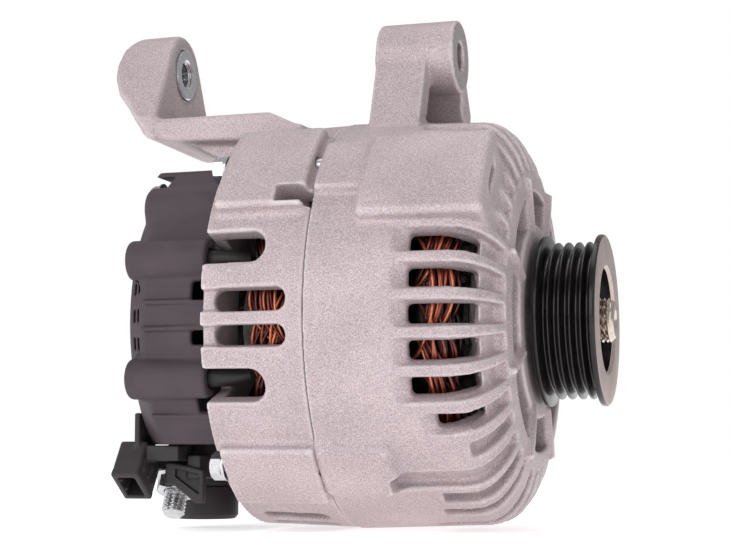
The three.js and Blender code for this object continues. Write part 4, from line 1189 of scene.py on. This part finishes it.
def stacked(*parts, angles=ANGLES_96):
    """Rows of (distance, radius) put one after another. A part is a pair of arrays, or a list of corners."""
    distances, radii = [], []
    for part in parts:
        if isinstance(part, list):
            part = np.array(part, float)
            distances.append(part[:, 0])
            radii.append(part[:, 1][:, None] * np.ones(len(angles)))
        else:
            distances.append(part[0])
            radii.append(part[1])
    return np.concatenate(distances), np.vstack(radii)


def threaded_rows(start, end, crest, depth, pitch, inner=False, angles=ANGLES_96):
    """Rings along a thread, twelve to a pitch."""
    count = max(int(abs(end - start) / pitch * 12), 8)
    distance = np.linspace(start, end, count)
    low, high = min(start, end), max(start, end)
    return distance, thread_radius(distance, angles, crest - depth, crest, pitch, low, high, inner)


# %% Shaft with its threaded end
def shaft_rows():
    """The shaft from its rear end to its threaded front end: a seat for the slip rings, the bearing
    journals, a groove before the thread, and an M15 thread with a small cone and centre hole."""
    rear_part = [
        (-61.5, 0.6), (-61.5, 4.4), (-60.9, 5.0), (-41, 5.0), (-40.6, 8.0), (-40, 8.5), (36, 8.5), (68.2, 8.5),
        (69.0, 8.0), (69.0, 6.7), (70.2, 6.7),
    ]
    thread = threaded_rows(70.2, 86.4, 7.5, 0.85, 1.5)
    front_part = [(86.6, 6.5), (87.1, 6.1), (87.3, 5.6), (87.3, 3.4), (87.1, 3.1), (84.9, 1.2), (83.6, 0.9)]
    return stacked(rear_part, thread, front_part)


distance, radius = shaft_rows()
shaft_skin = wrapped(rings_about((0, 0, 0), (1, 0, 0), distance, radius, ANGLES_96))
finished("shaft_turned", mesh_of("shaft_turned", *shaft_skin), BRIGHT_STEEL, "rotor", ["shaft"], 40)

# %% Pulley nut
nut_outer = stacked(
    [(69.8, 7.9), (69.8, 13.4), (70.4, 14.0), (71.4, 13.9), (72.0, 13.2)],
    hexagon_rows(72.1, 80.8, 24, chamfer_start=False),
    [(80.8, 9.6), (80.4, 8.2)],
)
nut_inner = threaded_rows(80.3, 69.9, 7.75, 0.1, 1.5, inner=True)
distance, radius = stacked(nut_outer, nut_inner)
nut_skin = wrapped(rings_about((0, 0, 0), (1, 0, 0), distance, radius, ANGLES_96), closed=True)
finished("pulley_nut_hex", mesh_of("pulley_nut_hex", *nut_skin), ZINC, "rotor", ["pulley_nut"], 30)

# %% Through bolts
for number, bolt_angle in enumerate((135, 225, 315, 45), 1):
    y, z = polar(BOLT_CIRCLE, bolt_angle)
    seat = BOLT_SEAT - 0.3
    distance, radius = stacked(
        [(seat - 5.0, 0.5), (seat - 4.6, 0.9), (seat - 4.6, 2.2), (seat - 5.0, 2.6)],
        hexagon_rows(seat - 5.0, seat - 1.3, 8, chamfer_end=False),
        [(seat - 1.25, 4.1), (seat - 0.9, 4.7), (seat - 0.25, 4.85), (seat, 4.6), (seat, 2.5), (8.0, 2.5), (8.3, 2.2)],
        threaded_rows(8.4, 20.2, 2.5, 0.42, 0.8),
        [(20.7, 2.0), (21.0, 1.5), (21.0, 0.4)],
    )
    skin = wrapped(rings_about((0, y, z), (1, 0, 0), distance, radius, ANGLES_96))
    name = f"through_bolt_{number}_turned"
    finished(name, mesh_of(name, *skin), ZINC, "housing", [f"through_bolt_{number}"], 30)

# %% Ear bush, a threaded steel sleeve
BUSH_FRONT = -68.2
distance, radius = stacked(
    [
        (BUSH_FRONT - 18.6, 9.1), (BUSH_FRONT - 19.0, 8.7), (BUSH_FRONT - 19.0, 5.6), (BUSH_FRONT - 18.4, 4.95),
    ],
    threaded_rows(BUSH_FRONT - 18.2, BUSH_FRONT - 0.8, 4.95, 0.7, 1.5, inner=True),
    [(BUSH_FRONT - 0.6, 4.95), (BUSH_FRONT, 5.7), (BUSH_FRONT, 8.6), (BUSH_FRONT - 0.4, 9.1)],
)
bush_skin = wrapped(rings_about((0, 0, LUG_HEIGHT), (1, 0, 0), distance, radius, ANGLES_96), closed=True)
finished("ear_bush_threaded", mesh_of("ear_bush_threaded", *bush_skin), ZINC, "ear_bush", ["ear_bush"], 35)

# %% Terminal stud and its flange nut
STUD_X, STUD_ANGLE = -61.0, 248.0
stud_y, stud_z = polar(1.0, STUD_ANGLE)
STUD_OUT = (0.0, stud_y, stud_z)
distance, radius = stacked(
    [(50.5, 0.5), (50.5, 3.9), (56.0, 3.95)],
    threaded_rows(56.2, 70.2, 4.0, 0.62, 1.25),
    [(70.4, 3.25), (71.0, 2.7), (71.0, 0.5)],
)
stud_skin = wrapped(rings_about((STUD_X, 0, 0), STUD_OUT, distance, radius, ANGLES_96))
finished("b_plus_stud_threaded", mesh_of("b_plus_stud_threaded", *stud_skin), ZINC, "housing", ["b_plus_stud"], 35)
distance, radius = stacked(
    [(56.3, 4.3), (56.3, 8.0), (56.6, 8.4), (57.3, 8.3), (58.2, 7.4)],
    hexagon_rows(58.3, 62.8, 13, chamfer_start=False),
    [(62.8, 5.2), (62.5, 4.35)],
    [(62.0, 4.3), (57.0, 4.3)],
)
nut_skin = wrapped(rings_about((STUD_X, 0, 0), STUD_OUT, distance, radius, ANGLES_96), closed=True)
finished("b_plus_nut_hex", mesh_of("b_plus_nut_hex", *nut_skin), ZINC, "housing", ["b_plus_nut"], 30)

# %% Nuts that hold the rear cover
for number, screw_angle in enumerate((4, 118, 300), 1):
    y, z = polar(50, screw_angle)
    face = -66.7
    distance, radius = stacked(
        [(face - 4.0, 0.4), (face - 3.5, 0.8), (face - 3.5, 2.3), (face - 3.9, 2.6)],
        hexagon_rows(face - 4.0, face - 1.0, 8, chamfer_end=False),
        [(face - 0.9, 4.2), (face - 0.6, 5.2), (face, 5.3), (face, 2.4), (-32, 2.4), (-31.7, 2.0), (-31.7, 0.4)],
    )
    skin = wrapped(rings_about((0, y, z), (1, 0, 0), distance, radius, ANGLES_96))
    name = f"cover_screw_{number}_hex"
    finished(name, mesh_of(name, *skin), ZINC, "housing", [f"cover_screw_{number}"], 30)

# %% Capacitor can
CAN_X, CAN_Y = -59.5, 0.5
can_profile = [
    (-40.0, 0.5), (-40.0, 3.5), (-48.8, 3.5), (-49.0, 9.6), (-49.6, 11.5), (-55.0, 11.5), (-55.2, 11.1),
    (-56.0, 11.1), (-56.2, 11.5), (-66.0, 11.5), (-67.2, 10.6), (-67.5, 10.0), (-67.5, 8.4), (-66.9, 8.0), (-66.9, 0.5),
]
can_skin = turned(can_profile, 96, 0.3, closed=False, origin=(CAN_X, CAN_Y, 0), direction=(0, 0, 1))
finished("capacitor_can", mesh_of("capacitor_can", *can_skin), BLACK_PLASTIC, "housing", ["capacitor"], 50)

# %% [markdown]
# Copper. The stator's wire leaves each slot, arches over to another slot a few teeth away and goes back
# in. Seen through the brackets' slots it is a mass of crossing arches. Each strand is a thin tube along
# a path: the angle runs evenly from one slot to the other while the height rises and falls as a sine.
# All strands are one array, and each point keeps its strand's tone as an attribute for the material. The tone
# is painted light and shade: outer strands bright, inner strands and the core under them near black.

# %% Stator winding
strand_dice = np.random.default_rng(7)


def tubes(paths, radius, sides=6):
    """Many tubes as one mesh. Paths is strands x points x 3. At each point the tube's ring lies across
    the path's direction, which is the difference of its neighbours."""
    strands, steps = paths.shape[:2]
    ahead = np.gradient(paths, axis=1)
    ahead /= np.linalg.norm(ahead, axis=-1, keepdims=True)
    outward = paths * np.array([0.0, 1.0, 1.0])
    outward /= np.linalg.norm(outward, axis=-1, keepdims=True)
    across = np.cross(ahead, outward)
    across /= np.linalg.norm(across, axis=-1, keepdims=True)
    up = np.cross(across, ahead)
    around = np.linspace(0, 2 * np.pi, sides, endpoint=False)
    size = np.broadcast_to(np.asarray(radius, float), (strands,))[:, None, None, None]
    ring = np.cos(around)[:, None] * across[:, :, None, :] + np.sin(around)[:, None] * up[:, :, None, :]
    points = paths[:, :, None, :] + size * ring
    s = np.arange(strands)[:, None, None]
    i = np.arange(steps - 1)[None, :, None]
    j = np.arange(sides)[None, None, :]
    at = lambda i, j: (s * steps + i) * sides + j % sides
    quads = np.stack([at(i, j), at(i, j + 1), at(i + 1, j + 1), at(i + 1, j)], -1).reshape(-1, 4)
    half = np.arange(0, sides, 2)
    starts = (np.arange(strands) * steps * sides)[:, None]
    ends = starts + (steps - 1) * sides
    lids = []
    for k in range(1, sides - 1):
        lids.append(np.stack([starts + 0, starts + k + 1, starts + k, starts + k], -1).reshape(-1, 4))
        lids.append(np.stack([ends + 0, ends + k, ends + k + 1, ends + k + 1], -1).reshape(-1, 4))
    assert len(half) * 2 == sides
    return points.reshape(-1, 3), np.vstack([quads, *lids])


def arches(face, outwards, rise, coils, strands):
    """Strand paths of one end of the winding. Each coil spans five slots. Its strands lie side by side in
    the slot, and start at slightly different radii, heights and angles."""
    share = np.linspace(0, 1, 19)
    coil = np.repeat(np.arange(coils), strands)
    strand = np.tile(np.arange(strands), coils)
    count = coils * strands
    start = (coil + 0.5) * 360 / coils + strand_dice.normal(0, 0.5, count)
    span = np.where(coil % 2 == 0, 50.0, 40.0) + strand_dice.normal(0, 1.5, count)
    layer = strand / (strands - 1)
    height = rise * (0.50 + 0.48 * layer) + strand_dice.normal(0, 0.35, count)
    swell = 2.2 + 3.6 * (1 - layer) + strand_dice.normal(0, 0.35, count)
    base = 54.0 + 1.6 * np.sin(strand * 2.1) + np.where(coil % 3 == 0, 1.2, -0.6)
    wobble = strand_dice.normal(0, 0.25, (count, 1)) * np.sin(share * 3 * np.pi)
    angle = start[:, None] + span[:, None] * share + wobble
    lift = np.sin(np.pi * share)[None, :] ** 0.62
    x = face + outwards * (height[:, None] * lift + 0.2)
    r = base[:, None] + swell[:, None] * lift + 0.4 * np.sin(share * 2 * np.pi)[None, :] * (coil % 2)[:, None]
    r = np.clip(r, 50.9, 60.0)
    y, z = polar(r, angle)
    # Strands that reach farther out get a higher tone and inner ones a lower one, with a random spread: painted light
    # outside, painted shade inside.
    tone = np.clip(0.45 + 0.4 * (r.max(1) - 56) / 4 + strand_dice.normal(0, 0.16, count), 0.1, 1.0)
    return np.stack([x, y, z], -1), tone


front_paths, front_shade_tone = arches(30.4, 1, 16.2, 36, 9)
rear_paths, rear_shade_tone = arches(-3.4, -1, 19.2, 36, 9)
SIDES = 6
wire_skins = [tubes(front_paths, 0.56, SIDES), tubes(rear_paths, 0.56, SIDES)]
wire_shade_tones = [np.repeat(front_shade_tone, front_paths.shape[1] * SIDES), np.repeat(rear_shade_tone, rear_paths.shape[1] * SIDES)]
# A solid ring under the strands at each end, at tone zero, which the material paints near black: a dark body standing
# in for the shade between the strands.
for x0, x1 in ((30.4, 44.5), (-3.4, -20.5)):
    core = turned([(x0, 51.0), (x0, 57.6), (x1 - np.sign(x1) * 3, 57.6), (x1, 55.5), (x1, 52.2)], 72, 0.8)
    wire_skins.append(core)
    wire_shade_tones.append(np.zeros(len(core[0])))
bar_angles = np.radians((np.arange(36) + 0.5) * 10)
bar_x = np.linspace(-4.0, 31.0, 4)
bar_paths = np.stack(
    [
        np.broadcast_to(bar_x, (36, 4)),
        np.broadcast_to((55.3 * np.cos(bar_angles))[:, None], (36, 4)),
        np.broadcast_to((55.3 * np.sin(bar_angles))[:, None], (36, 4)),
    ],
    -1,
)
# The straight bars in the slots take a low tone, 0.3: painted shade in dark red.
wire_skins.append(tubes(bar_paths, 1.15, SIDES))
wire_shade_tones.append(np.full(36 * 4 * SIDES, 0.3))
wire_points, wire_quads = joined(*wire_skins)
wire_mesh = mesh_of("stator_winding_wires", wire_points, wire_quads)
painted_shade_of_point = wire_mesh.attributes.new("tone", "FLOAT", "POINT")
painted_shade_of_point.data.foreach_set("value", np.concatenate(wire_shade_tones).astype(np.float32))
finished("stator_winding_wires", wire_mesh, COPPER, "housing", ["stator_winding"])
print("winding:", len(wire_points), "points in", len(front_paths) + len(rear_paths), "strands")

# %% Stator leads
for number, lead_angle in enumerate(LEADS, 1):
    share = np.linspace(0, 1, 28)
    lead_r = 59.5 - 3.2 * np.clip((share - 0.62) / 0.38, 0, 1) ** 2
    y, z = polar(lead_r, lead_angle)
    x = -50.0 + (50.0 - 23.8) * share
    path = np.stack([x, y, z], -1)[None]
    lead_mesh = mesh_of(f"stator_lead_{number}_sleeve", *tubes(path, 3.1, 40))
    finished(f"stator_lead_{number}_sleeve", lead_mesh, SLEEVE, "housing", [f"stator_lead_{number}"], 50)
print("leads are in")

# %% [markdown]
# The regulator and the terminal's block are moulded in black plastic. The connector's shroud has a rim,
# keying ribs and metal blades inside; here the blades are part of the black moulding. They are clay as well, on a finer
# grid, so their edges get the small even radius of a mould.

# %% Regulator with the connector socket
SOCKET_ANGLE = 235.0
SOCKET = {"back": -74.2, "front": -64.4, "low": -4.5, "high": 10.0, "root": 56.0, "floor": 60.0, "mouth": 70.0}
FINE_STEP = 0.34


def leaning_block(angle, x0, x1, low, high, r0, r1, radius=0.4):
    """A box that points outwards at an angle: its sides are along the shaft, across and outwards."""
    ny, nz = polar(1.0, angle)

    def shape(x, y, z):
        out = y * ny + z * nz
        across = y * nz - z * ny
        return corner_round(
            [
                np.abs(x - (x0 + x1) / 2) - (x1 - x0) / 2,
                np.abs(across - (low + high) / 2) - (high - low) / 2,
                np.abs(out - (r0 + r1) / 2) - (r1 - r0) / 2,
            ],
            radius,
        )

    corners = np.array([(ny * r + nz * a, nz * r - ny * a) for r in (r0, r1) for a in (low, high)])
    return shape, ([x0, *corners.min(0)], [x1, *corners.max(0)])


regulator = Clay((-77, -60, -66), (-48, 9, -9), FINE_STEP)
regulator.add(block((-63.2, -31, -36), (-51, 6, -12), 1.0))
regulator.add(block((-59, -35, -46), (-53, -29, -30), 0.8), 1.0)
regulator.add(block((-73.2, -41, -47), (-53, -30, -41.8), 0.6), 0.8)
regulator.add(block((-68.6, -42, -46), (-66.7, -28, -31), 0.5), 0.5)
s = SOCKET
regulator.add(leaning_block(SOCKET_ANGLE, s["back"], s["front"], s["low"], s["high"], s["root"], s["mouth"], 0.9), 0.8)
regulator.add(
    leaning_block(SOCKET_ANGLE, s["back"], s["front"] + 0.0, s["low"], s["high"], 67.6, s["mouth"], 0.5), 0.3
)
for place in (-1.5, 2.75, 7.0):
    regulator.add(leaning_block(SOCKET_ANGLE, s["front"] - 0.4, s["front"] + 0.5, place - 0.6, place + 0.6, 57, 66, 0.3), 0.4)
regulator.carve(
    leaning_block(
        SOCKET_ANGLE, s["back"] + 1.8, s["front"] - 1.8, s["low"] + 1.8, s["high"] - 1.8, s["floor"], s["mouth"] + 3, 0.5
    ),
    0.4,
)
for place in (0.2, 5.3):
    regulator.add(
        leaning_block(SOCKET_ANGLE, s["back"] + 1.6, s["back"] + 2.6, place - 0.5, place + 0.5, s["floor"], 69.2, 0.2), 0.2
    )
regulator_mesh = clay_mesh(regulator, "regulator_moulding", 120000)
finished("regulator_moulding", regulator_mesh, BLACK_PLASTIC, "housing", ["regulator"])

# %% Terminal block and guard
BLOCK_SEAT = 56.0
guard_outline = [(-60, -47.5), (-57, -47.5), (-46, -50), (-46, -61), (-49, -61), (-57, -55), (-60, -55)]
guard_hollow = [(-56.2, -49.6), (-47.6, -51.6), (-47.6, -58.2), (-56.2, -52.2)]
terminal = Clay((-72, -40, -64), (-43, -8, -38), FINE_STEP)
terminal.add(leaning_block(STUD_ANGLE, -63.2, -50, -7.5, 7, 44, 51, 0.8))
terminal.add(leaning_block(STUD_ANGLE, -69, -53, -7.5, 7, 50, BLOCK_SEAT, 0.8), 0.6)
terminal.add(slab(guard_outline, "y", -36, -33, 0.7), 0.4)
terminal.carve(slab(guard_hollow, "y", -38, -34.4, 0.3), 0.3)
terminal.add(block((-52.3, -35, -53), (-47.5, -22, -45), 0.6), 0.8)
stud_start = (STUD_X, 42 * stud_y, 42 * stud_z)
stud_end = (STUD_X, 58 * stud_y, 58 * stud_z)
terminal.carve(bar(stud_start, stud_end, 4.3, 0.05), 0.3)
terminal_mesh = clay_mesh(terminal, "b_plus_insulator_moulding", 90000)
finished("b_plus_insulator_moulding", terminal_mesh, BLACK_PLASTIC, "housing", ["b_plus_insulator"])

# %% [markdown]
# Inside, the parts keep their CAD shapes, because they are plain machined or pressed solids that are seen
# only through the slots. They get the finish of what they are made of. The balls and races are looked at
# from the ends, so they are turned again with more sides.

# %% Bearings
def bearing_pieces(name, inner, outer, back, width, balls, sides=96):
    """Two races with a round groove, and a cage with balls. The cage and its balls are one skin."""
    pitch = (inner + 0.3 + outer) / 2
    ball = (outer - inner) * 0.26
    depth = ball * 0.72
    middle = back + width / 2
    arc = np.linspace(-1, 1, 9)
    sink = (ball + 0.5) * np.cos(np.arcsin(np.clip(arc * 0.72, -1, 1)))
    reach = (ball + 0.5) * arc * 0.72
    outer_line = [(back, pitch + depth), (back, outer), (back + width, outer), (back + width, pitch + depth)]
    outer_line += [(middle - r, max(pitch + s, pitch + depth)) for r, s in zip(reach, sink)]
    inner_line = [(back, pitch - depth), (back, inner + 0.3), (back + width, inner + 0.3), (back + width, pitch - depth)]
    inner_line += [(middle - r, min(pitch - s, pitch - depth)) for r, s in zip(reach, sink)]
    body = "front_balls" if name == "front_bearing" else "rear_balls"
    for part, line, rides in (("outer", outer_line, "housing"), ("inner", inner_line, "rotor")):
        mesh = mesh_of(f"{name}_{part}_race", *turned(line, sides, [0, 0.5, 0.5, 0] + [0] * 9))
        finished(f"{name}_{part}_race", mesh, GROUND_STEEL, rides, [f"{name}_{part}"], 40)
    skins = [
        turned(
            [(middle - ball * 0.55, pitch - 0.9), (middle - ball * 0.55, pitch + 0.9), (middle + ball * 0.55, pitch + 0.9), (middle + ball * 0.55, pitch - 0.9)],
            sides, 0.2,
        )
    ]
    turn = np.linspace(0, 2 * np.pi, 24, endpoint=False)
    tilt = np.linspace(-np.pi / 2, np.pi / 2, 15)[1:-1]
    for i in range(balls):
        y, z = polar(pitch, i * 360 / balls)
        skins.append(wrapped(rings_about((middle, y, z), (1, 0, 0), ball * np.sin(tilt), ball * np.cos(tilt), turn)))
    mesh = mesh_of(f"{name}_balls", *joined(*skins))
    finished(f"{name}_balls", mesh, GROUND_STEEL, body, [f"{name}_cage"], 40)


bearing_pieces("front_bearing", 8.5, 23.5, 44, 14, 7)
bearing_pieces("rear_bearing", 8.5, 17.5, -36, 10, 8)
print("bearings are in")

# %% [markdown]
# A small coil spring presses each brush on its slip ring. The spring's top end stays in the holder. The real
# spring gets shorter as the brush slides up; here each coil is drawn at one fixed length.

# %% Brush springs
SPRING_LOW, SPRING_HIGH, SPRING_WIRE, SPRING_RADIUS, BRUSH_TRAVEL = 21.6, 29.6, 0.35, 1.35, 3.5
wound = np.linspace(0, 1, 97)
climb = SPRING_LOW + SPRING_WIRE + (SPRING_HIGH - SPRING_LOW - 2 * SPRING_WIRE) * wound
for number, middle in ((1, -48.0), (2, -55.0)):
    side, front = polar(SPRING_RADIUS, wound * 4 * 360)
    path = np.stack([middle + front, side, climb], -1)
    name = f"brush_spring_{number}"
    mesh = mesh_of(f"{name}_coil", *tubes(path[None], SPRING_WIRE, 8))
    coil = finished(f"{name}_coil", mesh, SPRING, "housing", [name])
    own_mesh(coil)

# %% Finishes for the parts that keep their CAD shapes
KEPT = {
    "stator_core": LAMINATED,
    "front_claw_pole": PLAIN_STEEL, "rear_claw_pole": PLAIN_STEEL,
    "coil_bobbin": BLACK_PLASTIC, "field_coil": RING_COPPER,
    "front_fan": PLAIN_STEEL, "rear_fan": PLAIN_STEEL,
    "slip_ring_sleeve": BLACK_PLASTIC, "slip_ring_1": RING_COPPER, "slip_ring_2": RING_COPPER,
    "bearing_retainer": PLAIN_STEEL, "shaft_spacer": GROUND_STEEL,
    "brush_holder": BLACK_PLASTIC, "brush_1": CARBON, "brush_2": CARBON,
    "negative_heatsink": PLATE, "positive_heatsink": PLATE,
}
for number in (1, 2, 3):
    KEPT[f"negative_diode_{number}"] = ZINC
    KEPT[f"positive_diode_{number}"] = ZINC
    KEPT[f"retainer_screw_{number}"] = ZINC
for name, finish in KEPT.items():
    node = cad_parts[name]
    node.data.materials.clear()
    node.data.materials.append(finish)
left = [n for n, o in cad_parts.items() if n not in KEPT and not o.hide_render]
print("CAD parts with a new finish:", len(KEPT), "without:", left)

# %% [markdown]
# The floor is plain and pale, and the light is soft: a white room, two large panels at the sides and one
# above. Panels this large make the long gentle highlights that show the form of matt castings, and thin
# bright lines on the glossy pulley.

# %% Floor, light and the sizes
def panel(name, place, aim, size, watts, tint=(1.0, 1.0, 1.0)):
    """A rectangular lamp at a place, in metres, that looks at another place."""
    data = bpy.data.lights.new(name, "AREA")
    data.shape = "RECTANGLE"
    data.size, data.size_y = size
    data.energy = watts
    data.color = tint
    lamp = bpy.data.objects.new(name, data)
    bpy.context.scene.collection.objects.link(lamp)
    lamp.location = place
    lamp.rotation_mode = "QUATERNION"
    lamp.rotation_quaternion = (Vector(aim) - Vector(place)).to_track_quat("-Z", "Y")
    return lamp


ROOM_LIGHT = 0.42
middle = (cad_low + cad_high) / 2
panel("front_panel", (-0.25, -1.35, 0.42), middle, (1.3, 0.9), 6.8)
panel("left_panel", (-1.25, -0.75, 0.3), middle, (0.5, 1.2), 5.4)
panel("right_panel", (1.15, -0.9, 0.35), middle, (0.3, 1.2), 2.4)
panel("top_panel", (0.0, 0.1, 1.2), middle, (1.2, 1.0), 5)

floor_height = cad_low.z - 0.0005
floor_mesh = bpy.data.meshes.new("floor")
floor_corners = [(-6, -6, floor_height), (6, -6, floor_height), (6, 6, floor_height), (-6, 6, floor_height)]
floor_mesh.from_pydata(floor_corners, [], [(0, 1, 2, 3)])
floor = bpy.data.objects.new("floor", floor_mesh)
bpy.context.scene.collection.objects.link(floor)
floor_finish, floor_tree, floor_shader = blank_material("pale_floor")
floor_shader.inputs["Base Color"].default_value = (0.93, 0.93, 0.93, 1.0)
floor_shader.inputs["Roughness"].default_value = 0.9
floor_shader.inputs["Emission Color"].default_value = (1.0, 1.0, 1.0, 1.0)
floor_shader.inputs["Emission Strength"].default_value = 0.62
floor_mesh.materials.append(floor_finish)

world = bpy.data.worlds.new("white_room")
bpy.context.scene.world = world
world.use_nodes = True
world_tree = world.node_tree
room_light = world_tree.nodes["Background"]
room_light.inputs["Color"].default_value = (0.97, 0.98, 1.0, 1.0)
room_light.inputs["Strength"].default_value = ROOM_LIGHT
room_wall = world_tree.nodes.new("ShaderNodeBackground")
room_wall.inputs["Color"].default_value = (1.0, 1.0, 1.0, 1.0)
seen_or_light = world_tree.nodes.new("ShaderNodeMixShader")
world_tree.links.new(world_tree.nodes.new("ShaderNodeLightPath").outputs["Is Camera Ray"], seen_or_light.inputs[0])
world_tree.links.new(room_light.outputs[0], seen_or_light.inputs[1])
world_tree.links.new(room_wall.outputs[0], seen_or_light.inputs[2])
world_tree.links.new(seen_or_light.outputs[0], world_tree.nodes["World Output"].inputs[0])
